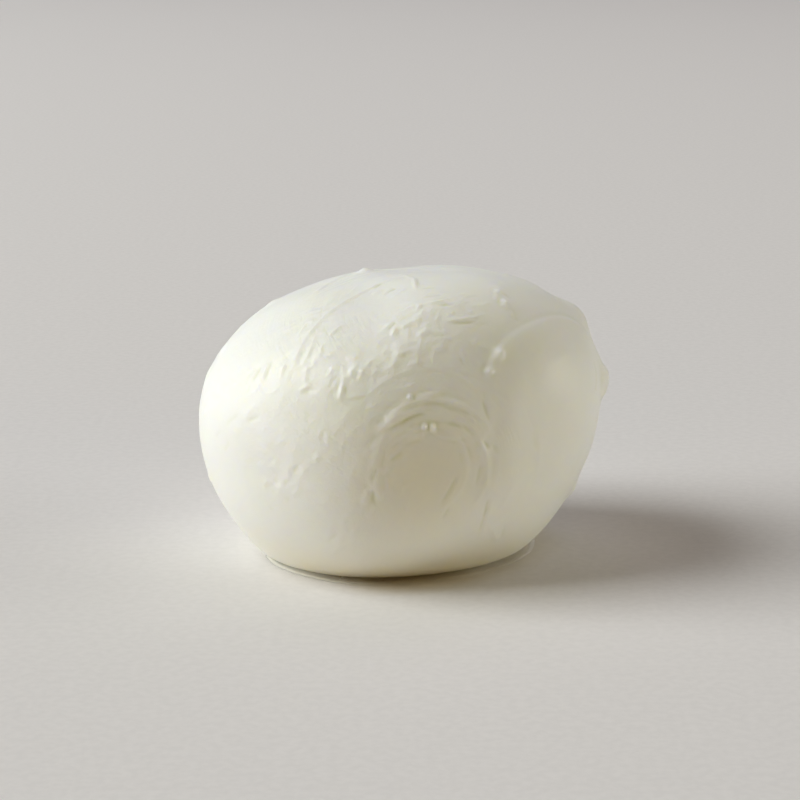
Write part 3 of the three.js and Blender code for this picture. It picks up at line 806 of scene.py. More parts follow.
def body_radius(directions):
    lean = math.radians(LEAN)
    x = directions[:, 0] * math.cos(lean) + directions[:, 2] * math.sin(lean)
    z = directions[:, 2] * math.cos(lean) - directions[:, 0] * math.sin(lean)
    plan = (
        np.abs(x / HALF_WIDTH) ** PLAN_FULLNESS
        + np.abs(directions[:, 1] / HALF_DEPTH) ** PLAN_FULLNESS
    ) ** (1.0 / PLAN_FULLNESS)
    side = np.abs(z) / np.where(z > 0.0, CROWN_RISE, BELLY_DROP)
    return (plan**SIDE_FULLNESS + side**SIDE_FULLNESS) ** (-1.0 / SIDE_FULLNESS)


def add_swelling(height, directions, place, rise, reach):
    around = Around(directions, place, BELL_REACH * reach)
    height[around.near] += rise * bell(np.hypot(around.x, around.y) / reach)


def form_radius(directions):
    """The ball's radius in each direction, before its fine relief."""
    form = body_radius(directions)
    for _, *swelling in SWELLINGS:
        add_swelling(form, directions, *swelling)
    return form


def add_nub(height, directions, place, rise, half_length, half_width, bearing):
    around = Around(directions, place, BELL_REACH * max(half_length, half_width))
    x, y = around.turned(bearing)
    height[around.near] += rise * bell(np.hypot(x / half_length, y / half_width))


def add_fold(height, directions, place, radius, start, end, rise, side):
    around = Around(directions, place)
    distance, bearing = around.polar()
    inside = -outside_span(bearing, start, end)
    height[around.near] += (
        rise * smoothstep(inside, 0.0, FOLD_TAPER) * lap(side * (distance - radius))
    )


def add_lobe(height, directions, place, half_width, half_height, squareness, rise, lip, start, end):
    around = Around(directions, place)
    size, bearing = around.polar()
    size = np.maximum(size, TINY)
    reach = np.abs(around.x / half_width) ** squareness
    reach = reach + np.abs(around.y / half_height) ** squareness
    inward = size / np.maximum(reach ** (1.0 / squareness), TINY) - size
    turned = turn_from(bearing, (start + end) / 2)
    half_open = (end - start) / 2
    closed = smoothstep(np.abs(turned), half_open, half_open + LOBE_OPENING)
    plateau = smoothstep(inward, -LOBE_EDGE, LOBE_EDGE)
    sunk = np.where(inward > 0.0, np.exp(-np.maximum(inward, 0.0) / LOBE_FADE), 1.0)
    rolled = lip * bell((inward - LOBE_LIP_INSET) / LOBE_LIP_REACH)
    crease = LOBE_CREASE * bell((inward + LOBE_CREASE_OUTSET) / LOBE_CREASE_REACH)
    height[around.near] += closed * (rise * plateau * sunk + rolled - crease)


def add_tear(height, directions, place, bearing, half_length, rise, seed):
    draw = draws_from(seed)
    crags = [
        (
            half_length * (2 * (i + next(draw)) / TEAR_CRAGS - 1),
            TEAR_RAGGED * between(CRAG_OFFSET, next(draw)),
            between(CRAG_RISE, next(draw)),
            between(CRAG_SIZE, next(draw)),
        )
        for i in range(TEAR_CRAGS)
    ]
    around = Around(directions, place, 3 * half_length)
    x, y = around.turned(bearing)
    along = x / half_length
    slow, quick = TEAR_BENDS
    across = y - TEAR_RAGGED * np.sin(slow * along + seed) * np.cos(quick * along)
    ends = 1.0 - smoothstep(np.abs(along), TEAR_TAPER, TEAR_END)
    band = np.where(
        across < 0.0, bell(across / FOLD_LIP), np.exp(-np.maximum(across, 0.0) / TEAR_WIDTH)
    )
    crag = sum(r * bell(np.hypot(x - a, across - b) / s) for a, b, r, s in crags)
    height[around.near] += rise * ends * (band + crag)


def add_lumps(height, directions):
    draw = draws_from(LUMP_SEED)
    for _ in range(LUMP_WAVES):
        azimuth = 360 * next(draw)
        way = direction_to((azimuth, math.degrees(math.asin(2 * next(draw) - 1))))
        turns = 2 * math.pi * SKIN_RADIUS / between(LUMP_LENGTH, next(draw))
        phase = 2 * math.pi * next(draw)
        height += LUMP_RISE * np.sin(turns * (directions @ way) + phase)


def flake(across, width):
    """Height across a thin strand or crumb: steep in front, with a faint hollow behind."""
    return lap(across, width, FLAKE_FADE * width, FLAKE_TROUGH)


def add_sweep(height, directions, place, radii, arc, strands, rise, long, width, seed):
    """Thin strands along the circles round a place, each fading at its ends."""
    draw = draws_from(seed)
    around = Around(directions, place, radii[1] + PATCH_MARGIN)
    distance, bearing = around.polar()
    total = np.zeros(len(around.near))
    for _ in range(strands):
        radius = between(radii, math.sqrt(next(draw)))
        middle = between(arc, next(draw))
        tall = between(rise, next(draw))
        half = between(long, next(draw)) / 2
        drift = STRAND_DRIFT * (next(draw) - 0.5)
        along = np.radians(turn_from(bearing, middle)) * radius
        across = distance - radius - drift * along
        touched = (np.abs(along) < STRAND_ENDS[1] * half) & (np.abs(across) < FLAKE_REACH * width)
        ends = 1.0 - smoothstep(np.abs(along[touched]) / half, *STRAND_ENDS)
        total[touched] += tall * ends * flake(across[touched], width)
    height[around.near] += total


def add_crumbs(height, directions, place, halves, bearing, spread, count, slant, rise, long, width, seed):
    """Short slanting flakes scattered over a patch, taller towards its middle."""
    draw = draws_from(seed)
    around = Around(directions, place, PATCH_SHARE * max(halves) + PATCH_MARGIN)
    x, y = around.turned(bearing)
    total = np.zeros(len(around.near))
    for _ in range(count):
        way = 2 * math.pi * next(draw)
        reach = math.sqrt(next(draw))
        at_x = halves[0] * reach * math.cos(way)
        at_y = halves[1] * reach * math.sin(way)
        turn = math.radians(slant - bearing + spread * (2 * next(draw) - 1))
        tall = between(rise, next(draw)) * (1.0 - CRUMB_THINNING * reach)
        half = between(long, next(draw))
        along = (x - at_x) * math.cos(turn) + (y - at_y) * math.sin(turn)
        across = (y - at_y) * math.cos(turn) - (x - at_x) * math.sin(turn)
        touched = (np.abs(along) < CRUMB_ENDS * half) & (np.abs(across) < FLAKE_REACH * width)
        total[touched] += tall * bell(along[touched] / half) * flake(across[touched], width)
    height[around.near] += total


def seen_on_skin(pixels):
    """Directions from the middle of the ball to the skin that the camera sees at each pixel."""
    rise = math.radians(VIEW_ELEVATION)
    back = np.array([0.0, -math.cos(rise), math.sin(rise)])
    right = np.array([1.0, 0.0, 0.0])
    up = np.cross(back, right)
    offset = (pixels - VIEW_PIXELS / 2) * VIEW_SENSOR / (VIEW_LENS * VIEW_PIXELS)
    rays = offset[:, :1] * right - offset[:, 1:] * up - back
    rays /= np.linalg.norm(rays, axis=1)[:, None]
    centre = np.array([0.0, 0.0, CENTRE_HEIGHT])
    points = np.array(VIEW_AIM) + VIEW_DISTANCE * back - centre
    points = points + rays * (VIEW_DISTANCE - 2 * HALF_WIDTH)
    for _ in range(SIGHT_STEPS):
        size = np.linalg.norm(points, axis=1)
        directions = points / size[:, None]
        gap = np.maximum(size - form_radius(directions), 0.0)
        facing = np.sum(directions * rays, axis=1) < 0
        points = points + SIGHT_STRIDE * (gap * facing)[:, None] * rays
    return directions


def marks_on_skin():
    """Place, rise, half length, half width, bearing and bend of each fleck and stroke."""
    marks = []
    for _, x, y, bearing, long, half_width, rise in FLECKS:
        turn = math.radians(bearing)
        half = long / 2 * np.array([math.cos(turn), -math.sin(turn)])
        middle = np.array([x, y])
        marks.append((middle - half, middle, middle + half, half_width, rise))
    for strokes in STROKES.values():
        marks += strokes
    pixels_per_mm = VIEW_LENS / VIEW_SENSOR * VIEW_PIXELS / VIEW_DISTANCE
    seen = []
    for start, middle, end, half_width, rise in marks:
        turn = math.atan2(start[1] - end[1], end[0] - start[0])
        down = MARK_SHIFT[rise > 0] * half_width * pixels_per_mm
        shift = down * np.array([abs(math.sin(turn)), abs(math.cos(turn))])
        seen += [np.array(point) + shift for point in (start, middle, end)]
    directions = seen_on_skin(np.array(seen)).reshape(-1, 3, 3)
    placed = []
    for (start, middle, end), (*_, half_width, rise) in zip(directions, marks, strict=True):
        place = (
            math.degrees(math.atan2(middle[0], -middle[1])),
            math.degrees(math.asin(middle[2])),
        )
        ends = Around(np.array([start, end]), place)
        bearing = math.degrees(math.atan2(ends.y[1] - ends.y[0], ends.x[1] - ends.x[0]))
        x, y = ends.turned(bearing)
        bend = float(np.mean(2 * y / np.maximum(x * x, half_width**2)))
        half_length = max(MARK_TAPER * (x[1] - x[0]), half_width)
        placed.append((place, rise, half_length, half_width, bearing, bend))
    return placed


def add_mark(height, directions, place, rise, half_length, half_width, bearing, bend):
    around = Around(directions, place, MARK_REACH * (half_length + half_width))
    x, y = around.turned(bearing)
    ends = np.exp(-0.5 * (x / half_length) ** MARK_SQUARENESS)
    height[around.near] += rise * ends * bell((y - bend * x * x / 2) / half_width)


def flow_share(directions, place, radii, arc, strength):
    """How much of a flow shows at each point: full within its radii and arc, fading outside."""
    around = Around(directions, place, radii[1] + FLOW_EDGE)
    distance, bearing = around.polar()
    share_here = np.zeros(len(directions))
    within = smoothstep(distance, radii[0] - FLOW_EDGE, radii[0] + FLOW_EDGE)
    within *= 1.0 - smoothstep(distance, radii[1] - FLOW_EDGE, radii[1] + FLOW_EDGE)
    within *= smoothstep(-outside_span(bearing, *arc), -FLOW_END / 2, FLOW_END / 2)
    share_here[around.near] = strength * within
    return share_here


def torn_share(directions):
    """How torn and crumbly the skin is at each point, from 0 to 1."""
    torn = np.zeros(len(directions))
    for _, place, halves, bearing, _, _, _, rise, *_ in CRUMBS:
        around = Around(directions, place, 3 * max(halves))
        x, y = around.turned(bearing)
        spread = TORN_SPREAD * np.array(halves)
        amount = (rise[1] / TORN_RISE) ** 2
        torn[around.near] += amount * bell(np.hypot(x / spread[0], y / spread[1]))
    return np.minimum(torn, 1.0)


def painted_shade_shares(directions):
    """How much of the painted foot shade and of the painted olive crease shade each point takes from a
    patch.
    """
    shares = np.zeros((2, len(directions)))
    for _, place, reach, *amounts in PAINTED_SHADE_PATCHES:
        for share_here, amount in zip(shares, amounts, strict=True):
            add_swelling(share_here, directions, place, amount, reach)
    return shares


def settled(z):
    """The soft belly settles: what would hang below the surface is pressed flat on it."""
    curled = (z + FOOT_ROUNDING) ** 2 / (4 * FOOT_ROUNDING)
    return np.where(z <= -FOOT_ROUNDING, 0.0, np.where(z >= FOOT_ROUNDING, z, curled))


def skin_points(directions, strand_share, crumb_share):
    """Points of the skin in millimetres, and the height of the relief at each."""
    form = form_radius(directions)
    relief = np.zeros(len(directions))
    for _, *lobe in LOBES:
        add_lobe(relief, directions, *lobe)
    for _, *fold in FOLDS:
        add_fold(relief, directions, *fold)
    for _, *tear in TEARS:
        add_tear(relief, directions, *tear)
    for _, *nub in NUBS:
        add_nub(relief, directions, *nub)
    add_lumps(relief, directions)
    strands = np.zeros(len(directions))
    for _, *sweep in SWEEPS:
        add_sweep(strands, directions, *sweep)
    crumbs = np.zeros(len(directions))
    for _, *crumb in CRUMBS:
        add_crumbs(crumbs, directions, *crumb)
    for mark in marks_on_skin():
        add_mark(crumbs, directions, *mark)
    relief += strand_share * strands + crumb_share * crumbs
    clear = smoothstep(CENTRE_HEIGHT + form * directions[:, 2], 0.0, RELIEF_FOOT)
    points = directions * (form + clear * relief)[:, None]
    points[:, 2] = settled(points[:, 2] + CENTRE_HEIGHT)
    return points, clear * relief


def foot_radii(bearings):
    """How far from the middle the settled foot rests on the surface, in each bearing."""
    tilts = np.radians(np.linspace(*FOOT_TILTS, FOOT_TILT_STEPS))
    turns = np.repeat(np.radians(bearings), len(tilts))
    tilt = np.tile(tilts, len(bearings))
    directions = np.column_stack(
        [np.cos(turns) * np.cos(tilt), np.sin(turns) * np.cos(tilt), np.sin(tilt)]
    )
    form = form_radius(directions)
    height = settled(CENTRE_HEIGHT + form * directions[:, 2]).reshape(len(bearings), -1)
    radius = (form * np.cos(tilt)).reshape(len(bearings), -1)
    return np.where(height < FOOT_TOUCH, radius, 0.0).max(axis=1)


# ------------------------------------------------------------------ materials
def new_material(name):
    material = bpy.data.materials.new(name)
    material.use_nodes = True
    tree = material.node_tree
    shader = tree.nodes["Principled BSDF"]
    return material, tree, shader


def add_node(tree, kind, **values):
    node = tree.nodes.new(kind)
    for name, value in values.items():
        setattr(node, name, value)
    return node


def set_inputs(node, **values):
    """Give a node's inputs their values: input_name stands for the input Input Name."""
    for socket in node.inputs:
        key = socket.name.lower().replace(" ", "_")
        if key in values:
            socket.default_value = values.pop(key)
    if values:
        raise ValueError(f"no such inputs: {sorted(values)}")


def noise(tree, vector, **values):
    node = add_node(tree, "ShaderNodeTexNoise")
    set_inputs(node, **values)
    tree.links.new(vector, node.inputs["Vector"])
    return node.outputs["Fac"]


def attribute(tree, name):
    """The values that a piece's mesh stores under a name."""
    return add_node(tree, "ShaderNodeAttribute", attribute_name=name).outputs["Fac"]


def separate(tree, vector):
    node = add_node(tree, "ShaderNodeSeparateXYZ")
    tree.links.new(vector, node.inputs["Vector"])
    return node.outputs["X"], node.outputs["Y"], node.outputs["Z"]


def remap(tree, value, limits, new_low=0.0, new_high=1.0):
    node = add_node(tree, "ShaderNodeMapRange")
    for socket, number in zip(node.inputs[1:5], (*limits, new_low, new_high), strict=True):
        socket.default_value = number
    tree.links.new(value, node.inputs["Value"])
    return node.outputs["Result"]


def mix_colours(tree, amount, first, second):
    node = add_node(tree, "ShaderNodeMix", data_type="RGBA")
    tree.links.new(amount, node.inputs["Factor"])
    for socket, value in ((node.inputs["A"], first), (node.inputs["B"], second)):
        if isinstance(value, bpy.types.NodeSocket):
            tree.links.new(value, socket)
        else:
            socket.default_value = (*value, 1.0)
    return node.outputs["Result"]


def calculate(tree, kind, first, second):
    node = add_node(tree, "ShaderNodeMath", operation=kind)
    for socket, value in zip(node.inputs, (first, second), strict=False):
        if isinstance(value, bpy.types.NodeSocket):
            tree.links.new(value, socket)
        else:
            socket.default_value = value
    return node.outputs["Value"]


def mix_shaders(tree, amount, first, second):
    node = add_node(tree, "ShaderNodeMixShader")
    for socket, value in zip(node.inputs, (amount, first, second), strict=True):
        tree.links.new(value, socket)
    return node.outputs["Shader"]


def flow_pattern(tree, position, name, place, radii, arc, width, run, _):
    """Noise drawn out round the circles of a place, shown by the flow's share on the skin."""
    azimuth = math.radians(place[0])
    out = Vector(direction_to(place))
    east = Vector((math.cos(azimuth), math.sin(azimuth), 0.0))
    north = out.cross(east)
    middle = math.radians(sum(arc) / 2)
    ahead = east * math.cos(middle) + north * math.sin(middle)
    axes = Matrix((ahead, out.cross(ahead), out)).transposed()
    turned = add_node(tree, "ShaderNodeMapping", vector_type="TEXTURE")
    set_inputs(turned, location=(0.0, 0.0, CENTRE_HEIGHT * MM), rotation=axes.to_euler())
    tree.links.new(position, turned.inputs["Vector"])
    x, y, _ = separate(tree, turned.outputs["Vector"])
    squares = calculate(
        tree, "ADD", calculate(tree, "MULTIPLY", x, x), calculate(tree, "MULTIPLY", y, y)
    )
    distance = calculate(tree, "SQRT", squares, 0.0)
    turn = calculate(tree, "ARCTAN2", y, x)
    flat = add_node(tree, "ShaderNodeCombineXYZ")
    tree.links.new(calculate(tree, "DIVIDE", distance, width * MM), flat.inputs["X"])
    typical = sum(radii) / 2 / run
    tree.links.new(calculate(tree, "MULTIPLY", turn, typical), flat.inputs["Y"])
    drawn = noise(
        tree, flat.outputs["Vector"], scale=1.0, detail=FLOW_DETAIL, distortion=FLOW_DISTORTION
    )
    centred = calculate(tree, "SUBTRACT", drawn, 0.5)
    return calculate(tree, "MULTIPLY", centred, attribute(tree, name))


def drawn_strands(tree, position):
    """All the flows together, stronger in some patches than in others."""
    drawn, *others = [flow_pattern(tree, position, *flow) for flow in FLOWS]
    for flow in others:
        drawn = calculate(tree, "ADD", drawn, flow)
    patches = noise(tree, position, scale=FLOW_PATCH_SCALE, detail=FLOW_PATCH_DETAIL)
    strength = remap(tree, patches, FLOW_PATCH_LIMITS, FLOW_PATCH_LEAST)
    return calculate(tree, "MULTIPLY", drawn, strength)


def skin_tint(tree, position, drawn, settings):
    """Faint clouds, painted shade on the foot and in hollow patches, and painted olive shade in creases
    and in the valleys of the drawn strands.
    """
    skin = settings.skin_colour
    deeper = tuple(c * k for c, k in zip(skin, CLOUD_SHADE, strict=True))
    cloudy = noise(tree, position, scale=CLOUD_SCALE, detail=CLOUD_DETAIL)
    plain = mix_colours(tree, remap(tree, cloudy, CLOUD_LIMITS), tuple(skin), deeper)
    # painted shade: the foot is painted darker and warmer low down and in front
    _, y, z = separate(tree, position)
    low = remap(tree, z, [MM * height for height in FOOT_SHADE_HEIGHTS])
    ahead = remap(tree, y, [MM * front for front in FOOT_SHADE_FRONTS], FOOT_SHADE_BEHIND)
    foot = calculate(tree, "MULTIPLY", calculate(tree, "POWER", low, FOOT_SHADE_POWER), ahead)
    # painted shade: the foot's painted shade together with the painted shade patches
    soaked = calculate(tree, "MAXIMUM", foot, attribute(tree, "soaked"))
    plain = mix_colours(tree, soaked, plain, tuple(settings.foot_shade_colour))
    # painted shade: the valleys of the drawn strands are painted olive and darker
    valley = remap(tree, drawn, FLOW_VALLEYS, 0.0, settings.flow_valley_shade)
    # painted shade: creases, tears and hollow patches are painted olive and darker
    dark = calculate(tree, "MAXIMUM", attribute(tree, "crease"), valley)
    return mix_colours(tree, dark, plain, tuple(settings.crease_shade_colour))


def skin_bump(tree, position, drawn, settings):
    """The finest strands and the grain, which is coarser where the skin is torn."""
    grain = noise(
        tree, position, scale=GRAIN_SCALE, detail=GRAIN_DETAIL, roughness=GRAIN_ROUGHNESS
    )
    coarse = remap(tree, attribute(tree, "torn"), (0.0, 1.0), settings.grain, settings.torn_grain)
    grained = calculate(tree, "MULTIPLY", grain, coarse)
    strands = calculate(tree, "MULTIPLY", drawn, settings.flow_height)
    bump = add_node(tree, "ShaderNodeBump")
    set_inputs(bump, strength=1.0, distance=1.0)
    tree.links.new(calculate(tree, "ADD", grained, strands), bump.inputs["Height"])
    return bump.outputs["Normal"]


def curd_material(settings):
    """Moist fresh curd: light travels inside it, creases are painted a darker olive as shade, tears are
    wetter.
    """
    material, tree, shader = new_material("mozzarella_curd")
    position = add_node(tree, "ShaderNodeTexCoord").outputs["Object"]
    drawn = drawn_strands(tree, position)
    worn = noise(tree, position, scale=WORN_SCALE, detail=WORN_DETAIL, roughness=GRAIN_ROUGHNESS)
    smooth, rough = (settings.roughness + spread for spread in WORN_SPREAD)
    wettest = settings.moisture + settings.torn_moisture
    wetness = remap(tree, attribute(tree, "torn"), (0.0, 1.0), settings.moisture, wettest)
    set_inputs(
        shader,
        subsurface_weight=settings.scatter_share,
        subsurface_radius=settings.scatter_tint,
        subsurface_scale=settings.scatter,
        ior=CURD_IOR,
        coat_roughness=COAT_ROUGHNESS,
        coat_ior=WATER_IOR,
    )
    tree.links.new(skin_tint(tree, position, drawn, settings), shader.inputs["Base Color"])
    tree.links.new(remap(tree, worn, WORN_LIMITS, smooth, rough), shader.inputs["Roughness"])
    tree.links.new(wetness, shader.inputs["Coat Weight"])
    tree.links.new(skin_bump(tree, position, drawn, settings), shader.inputs["Normal"])
    return material


def whey_material(settings):
    """Clear whey, tinted brown where it paints the contact shadow round the ball, and milky at its rim,
    where it also paints the rim's highlight.
    """
    material, tree, milk = new_material("whey")
    clear = add_node(tree, "ShaderNodeBsdfTransparent")
    # painted shadow: the brown tint darkens the floor seen through the film, in front of and right of the
    # ball
    tinted = mix_colours(tree, attribute(tree, "deep"), (1.0, 1.0, 1.0), tuple(settings.tint))
    tree.links.new(tinted, clear.inputs["Color"])
    gloss = add_node(tree, "ShaderNodeBsdfGlossy")
    set_inputs(gloss, roughness=WHEY_ROUGHNESS)
    view = add_node(tree, "ShaderNodeLayerWeight")
    set_inputs(view, blend=0.5)
    grazing = calculate(tree, "POWER", view.outputs["Facing"], WHEY_GRAZING_POWER)
    mirrored = remap(tree, grazing, (0.0, 1.0), WHEY_FACING)
    mirrored = calculate(tree, "MULTIPLY", attribute(tree, "top"), mirrored)
    wet = mix_shaders(tree, mirrored, clear.outputs["BSDF"], gloss.outputs["BSDF"])
    set_inputs(milk, base_color=(*settings.milk_colour, 1.0), roughness=MILK_ROUGHNESS)
    # partly painted highlight: milky where the rim catches the light
    milky = calculate(tree, "MULTIPLY", attribute(tree, "milk"), settings.milkiness)
    film = mix_shaders(tree, milky, wet, milk.outputs["BSDF"])
    tree.links.new(film, tree.nodes["Material Output"].inputs["Surface"])
    return material


def floor_material(settings):
    """A plain matt surface with faint darker specks."""
    material, tree, shader = new_material("studio_floor")
    position = add_node(tree, "ShaderNodeTexCoord").outputs["Object"]
    specks = noise(tree, position, scale=SPECK_SCALE, detail=SPECK_DETAIL)
    base = tuple(settings.floor_colour)
    darker = tuple(c * SPECK_SHADE for c in base)
    tinted = mix_colours(tree, remap(tree, specks, SPECK_LIMITS), base, darker)
    tree.links.new(tinted, shader.inputs["Base Color"])
    set_inputs(shader, roughness=FLOOR_ROUGHNESS, specular_ior_level=FLOOR_SPECULAR)
    return material


# ------------------------------------------------------------------ meshes
def link_object(name, data):
    piece = bpy.data.objects.new(name, data)
    bpy.context.scene.collection.objects.link(piece)
    return piece


def mesh_from(bm, name):
    mesh = bpy.data.meshes.new(name)
    bm.to_mesh(mesh)
    bm.free()
    return mesh


def points_of(mesh):
    flat = np.empty(3 * len(mesh.vertices))
    mesh.vertices.foreach_get("co", flat)
    return flat.reshape(-1, 3)


def add_layers(mesh, layers):
    """Store a value for each point of a mesh under each name."""
    for name, values in layers.items():
        layer = mesh.attributes.new(name, "FLOAT", "POINT")
        layer.data.foreach_set("value", values.astype(np.float32))


def finish_mesh(mesh, points, layers, material):
    """Move the mesh's points to their places, and give it its layers and its material."""
    mesh.vertices.foreach_set("co", points.astype(np.float32).ravel())
    add_layers(mesh, layers)
    mesh.shade_smooth()
    mesh.materials.append(material)
    mesh.update()


def round_cube(halvings):
    """A cube halved over and over, and the direction of each point once it is blown up to a
    ball, with the smallest faces at the front."""
    bm = bmesh.new()
    bmesh.ops.create_cube(bm, size=2.0)
    for _ in range(halvings):
        bmesh.ops.subdivide_edges(bm, edges=bm.edges[:], cuts=1, use_grid_fill=True)
    mesh = mesh_from(bm, "mozzarella_skin")
    even = np.tan(points_of(mesh) * math.pi / 4)
    even /= np.linalg.norm(even, axis=1)[:, None]
    even += FRONT_PULL * direction_to(FRONT)
    return mesh, even / np.linalg.norm(even, axis=1)[:, None]


# painted shade: this depth decides how much olive shade is painted into each crease
def creases(mesh, relief):
    """How deep each point of the skin lies below the relief round it, from 0 to 1."""
    ends = np.empty(2 * len(mesh.edges), dtype=np.int64)
    mesh.edges.foreach_get("vertices", ends)
    first, second = ends.reshape(-1, 2).T
    count = len(relief)
    links = np.bincount(first, minlength=count) + np.bincount(second, minlength=count)
    soft = relief.copy()
    for _ in range(CREASE_ROUNDS):
        passed = np.bincount(first, soft[second], count) + np.bincount(second, soft[first], count)
        soft = 0.5 * soft + 0.5 * passed / links
    return np.clip((soft - relief - CREASE_STARTS) / CREASE_DEPTH, 0.0, 1.0)


def whey_ring(depth):
    """The section of the film, turned into a plain ring."""
    bm = bmesh.new()
    ring = [
        bm.verts.new((MM * WHEY_RING * (1 + out), 0.0, MM * WHEY_LIFT + depth * height))
        for out, height in WHEY_SECTION
    ]
    edges = [bm.edges.new(pair) for pair in zip(ring, ring[1:] + ring[:1], strict=True)]
    bmesh.ops.spin(
        bm,
        geom=edges,
        cent=(0, 0, 0),
        axis=(0, 0, 1),
        angle=2 * math.pi,
        steps=WHEY_STEPS,
        use_merge=True,
    )
    bmesh.ops.remove_doubles(bm, verts=bm.verts, dist=MM * WHEY_MERGE)
    bmesh.ops.recalc_face_normals(bm, faces=bm.faces)
    return mesh_from(bm, "whey_film")


def whey_layers(way, out, height, climb):
    """How much painted shadow tint, milkiness and openness to the air each point of the film has, from 0
    to 1.
    """
    bearing = np.degrees(way)
    right = smoothstep(np.cos(way), *WHEY_RIGHT_SPAN)
    # painted shadow: strongest in front and on the right, where the ball shades the floor, and fading past
    # the edge
    front_shadow = 1.0 - smoothstep(np.abs(turn_from(bearing, WHEY_SHADOW_BEARING)), *WHEY_SHADOW_SPAN)
    deep = np.maximum(front_shadow, WHEY_RIGHT[0] * right) * (1.0 - smoothstep(out, *WHEY_SHADOW_FADE))
    # partly painted light: the rim and the climb are milkiest on the lit left front, painting the rim's
    # highlight and lightening the contact shade
    milky = 1.0 - smoothstep(np.abs(turn_from(bearing, WHEY_LIT_BEARING)), *WHEY_MILKY_SPAN)
    edge = np.maximum(between((WHEY_RIM_LEAST, 1.0), milky), WHEY_RIGHT[1] * right)
    rim = edge * bell((out - WHEY_RIM[0]) / WHEY_RIM[1])
    body = np.maximum(WHEY_MILKY_BODY * milky, climb * between(WHEY_CLIMB_MILKY, milky))
    top = smoothstep(height, *WHEY_TOP)
    return {"deep": deep, "milk": top * np.maximum(rim, body), "top": top}


# ------------------------------------------------------------------ what makes the pieces
class MOZZARELLA_OT_make_ball(bpy.types.Operator):
    """Make the ball with its folds, tears, strands and crumbs"""

    bl_idname = "mozzarella.make_ball"
    bl_label = "Make ball"

    def execute(self, context):
        settings = context.scene.mozzarella_curd
        mesh, directions = round_cube(settings.halvings)
        points, relief = skin_points(directions, settings.strand_share, settings.crumb_share)
        low, high = points.min(axis=0), points.max(axis=0)
        box_low, box_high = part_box("mozzarella_ball")
        middle = (np.array(box_low) + np.array(box_high)) / 2 / MM
        points[:, :2] += middle[:2] - (low + high)[:2] / 2
        # painted shade: hollow patches painted darker, with the foot colour and with the crease colour
        soaked, olive = painted_shade_shares(directions)
        layers = {
            # painted shade: creases and hollow patches painted olive
            "crease": np.maximum(creases(mesh, relief), olive),
            "soaked": soaked,
            "torn": torn_share(directions),
        }
        for name, place, radii, arc, _, _, strength in FLOWS:
            layers[name] = flow_share(directions, place, radii, arc, strength)
        finish_mesh(mesh, points * MM, layers, curd_material(settings))
        ball = link_object("mozzarella_skin", mesh)
        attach(ball, "root")
        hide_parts("mozzarella_ball")
        return {"FINISHED"}


class MOZZARELLA_OT_make_whey(bpy.types.Operator):
    """Make the thin ring of whey round the foot of the ball"""

    bl_idname = "mozzarella.make_whey"
    bl_label = "Make whey"

    def execute(self, context):
        settings = context.scene.mozzarella_whey
        mesh = whey_ring(settings.depth)
        points = points_of(mesh)
        out = np.hypot(points[:, 0], points[:, 1]) / (MM * WHEY_RING) - 1
        way = np.arctan2(points[:, 1], points[:, 0])
        reach = np.ones(len(points))
        for turns, part, crest in WHEY_WANDER:
            reach += part * np.cos(turns * (way - math.radians(crest)))
        bearings = np.arange(0.0, 360.0 + FOOT_BEARING_STEP, FOOT_BEARING_STEP)
        foot = np.interp(np.mod(np.degrees(way), 360.0), bearings, foot_radii(bearings)) * MM
        beyond = settings.reach * reach * out
        climb = 1.0 - smoothstep(beyond / MM, *WHEY_CLIMB)
        full = np.clip(points[:, 2] / settings.depth, 0.0, 1.0)
        points[:, 2] += settings.climb * climb * full
        points[:, 0] = (foot + beyond) * np.cos(way)
        points[:, 1] = (foot + beyond) * np.sin(way)
        layers = whey_layers(way, out, points[:, 2] / settings.depth, climb)
        finish_mesh(mesh, points, layers, whey_material(settings))
        film = link_object("whey_film", mesh)
        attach(film, "root")
        return {"FINISHED"}


def make_floor(settings):
    bm = bmesh.new()
    bmesh.ops.create_circle(bm, cap_ends=True, radius=settings.floor_radius, segments=FLOOR_SIDES)
    mesh = mesh_from(bm, "studio_floor")
    mesh.materials.append(floor_material(settings))
    link_object("studio_floor", mesh)


def add_light(name, place, side, watts, tint, settings):
    lamp = bpy.data.lights.new(name, "AREA")
    lamp.shape = "SQUARE"
    lamp.size = side
    lamp.energy = watts * settings.light_share
    lamp.color = tint
    light = link_object(name, lamp)
    towards = Vector(direction_to(place))
    light.location = towards * settings.light_distance
    light.rotation_euler = towards.to_track_quat("Z", "Y").to_euler()
    light.visible_camera = False


def studio_world(settings):
    """Even light that only the camera and reflections see, so that it fills no shadow."""
    world = bpy.data.worlds.new("studio_world")
    world.use_nodes = True
    tree = world.node_tree
    background = tree.nodes["Background"]
    set_inputs(background, color=(*ROOM_COLOUR, 1.0))
    rays = add_node(tree, "ShaderNodeLightPath")
    seen = calculate(tree, "SUBTRACT", 1.0, rays.outputs["Is Diffuse Ray"])
    strength = calculate(tree, "MULTIPLY", seen, settings.room)
    tree.links.new(strength, background.inputs["Strength"])
    return world


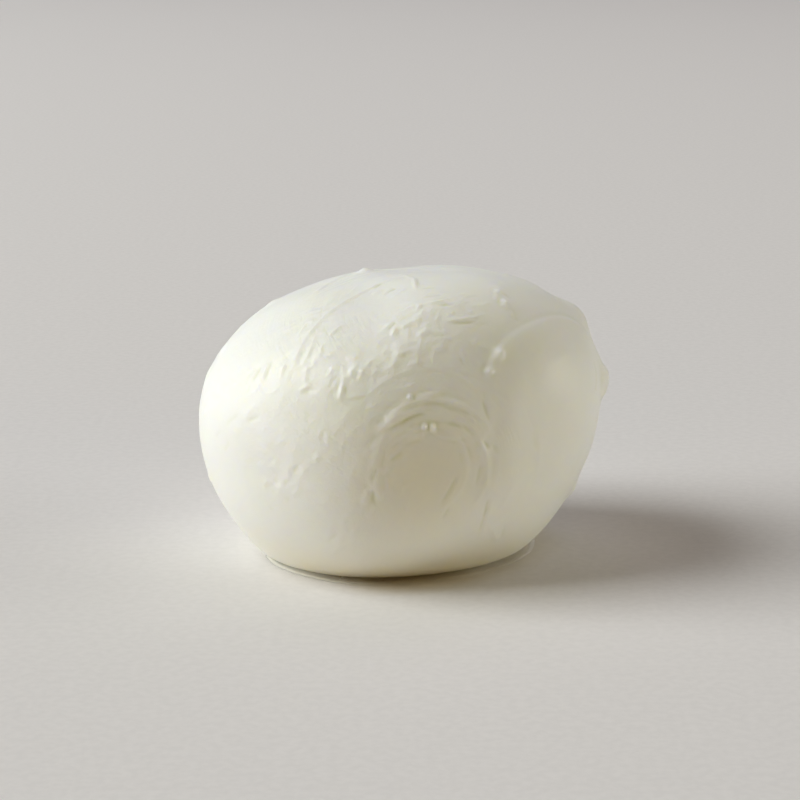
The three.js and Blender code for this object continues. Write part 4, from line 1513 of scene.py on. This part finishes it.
def studio_camera(settings):
    lens = bpy.data.cameras.new("studio_camera")
    lens.lens = settings.lens
    lens.sensor_width = VIEW_SENSOR
    lens.clip_start = CAMERA_CLIP * MM
    camera = link_object("studio_camera", lens)
    rise = settings.camera_elevation
    back = Vector((0.0, -math.cos(rise), math.sin(rise)))
    camera.location = Vector(settings.camera_aim) + back * settings.camera_distance
    camera.rotation_euler = back.to_track_quat("Z", "Y").to_euler()
    return camera


class MOZZARELLA_OT_make_stage(bpy.types.Operator):
    """Make the floor, the soft lights and the camera"""

    bl_idname = "mozzarella.make_stage"
    bl_label = "Make stage"

    def execute(self, context):
        settings = context.scene.mozzarella_stage
        make_floor(settings)
        for light in LIGHTS:
            add_light(*light, settings)
        context.scene.world = studio_world(settings)
        context.scene.camera = studio_camera(settings)
        context.scene.view_settings.view_transform = "Standard"
        return {"FINISHED"}


class MOZZARELLA_PT_panel(bpy.types.Panel):
    """Buttons and settings of the mozzarella ball"""

    bl_idname = "MOZZARELLA_PT_panel"
    bl_label = "Mozzarella ball"
    bl_space_type = "VIEW_3D"
    bl_region_type = "UI"
    bl_category = "Mozzarella"

    def draw(self, context):
        for group, operator in STEPS:
            box = self.layout.box()
            settings = getattr(context.scene, group)
            for name in settings.__annotations__:
                box.prop(settings, name)
            box.operator(operator)


GROUPS = (
    ("mozzarella_curd", CurdSettings),
    ("mozzarella_whey", WheySettings),
    ("mozzarella_stage", StageSettings),
)
STEPS = (
    ("mozzarella_curd", "mozzarella.make_ball"),
    ("mozzarella_whey", "mozzarella.make_whey"),
    ("mozzarella_stage", "mozzarella.make_stage"),
)
CLASSES = (
    CurdSettings,
    WheySettings,
    StageSettings,
    MOZZARELLA_OT_make_ball,
    MOZZARELLA_OT_make_whey,
    MOZZARELLA_OT_make_stage,
    MOZZARELLA_PT_panel,
)


def register():
    for cls in CLASSES:
        bpy.utils.register_class(cls)
    for name, group in GROUPS:
        setattr(bpy.types.Scene, name, bpy.props.PointerProperty(type=group))


def unregister():
    for name, _ in GROUPS:
        delattr(bpy.types.Scene, name)
    for cls in reversed(CLASSES):
        bpy.utils.unregister_class(cls)


def main():
    register()
    bpy.ops.mozzarella.make_ball()
    bpy.ops.mozzarella.make_whey()
    bpy.ops.mozzarella.make_stage()


if __name__ == "__main__":
    main()
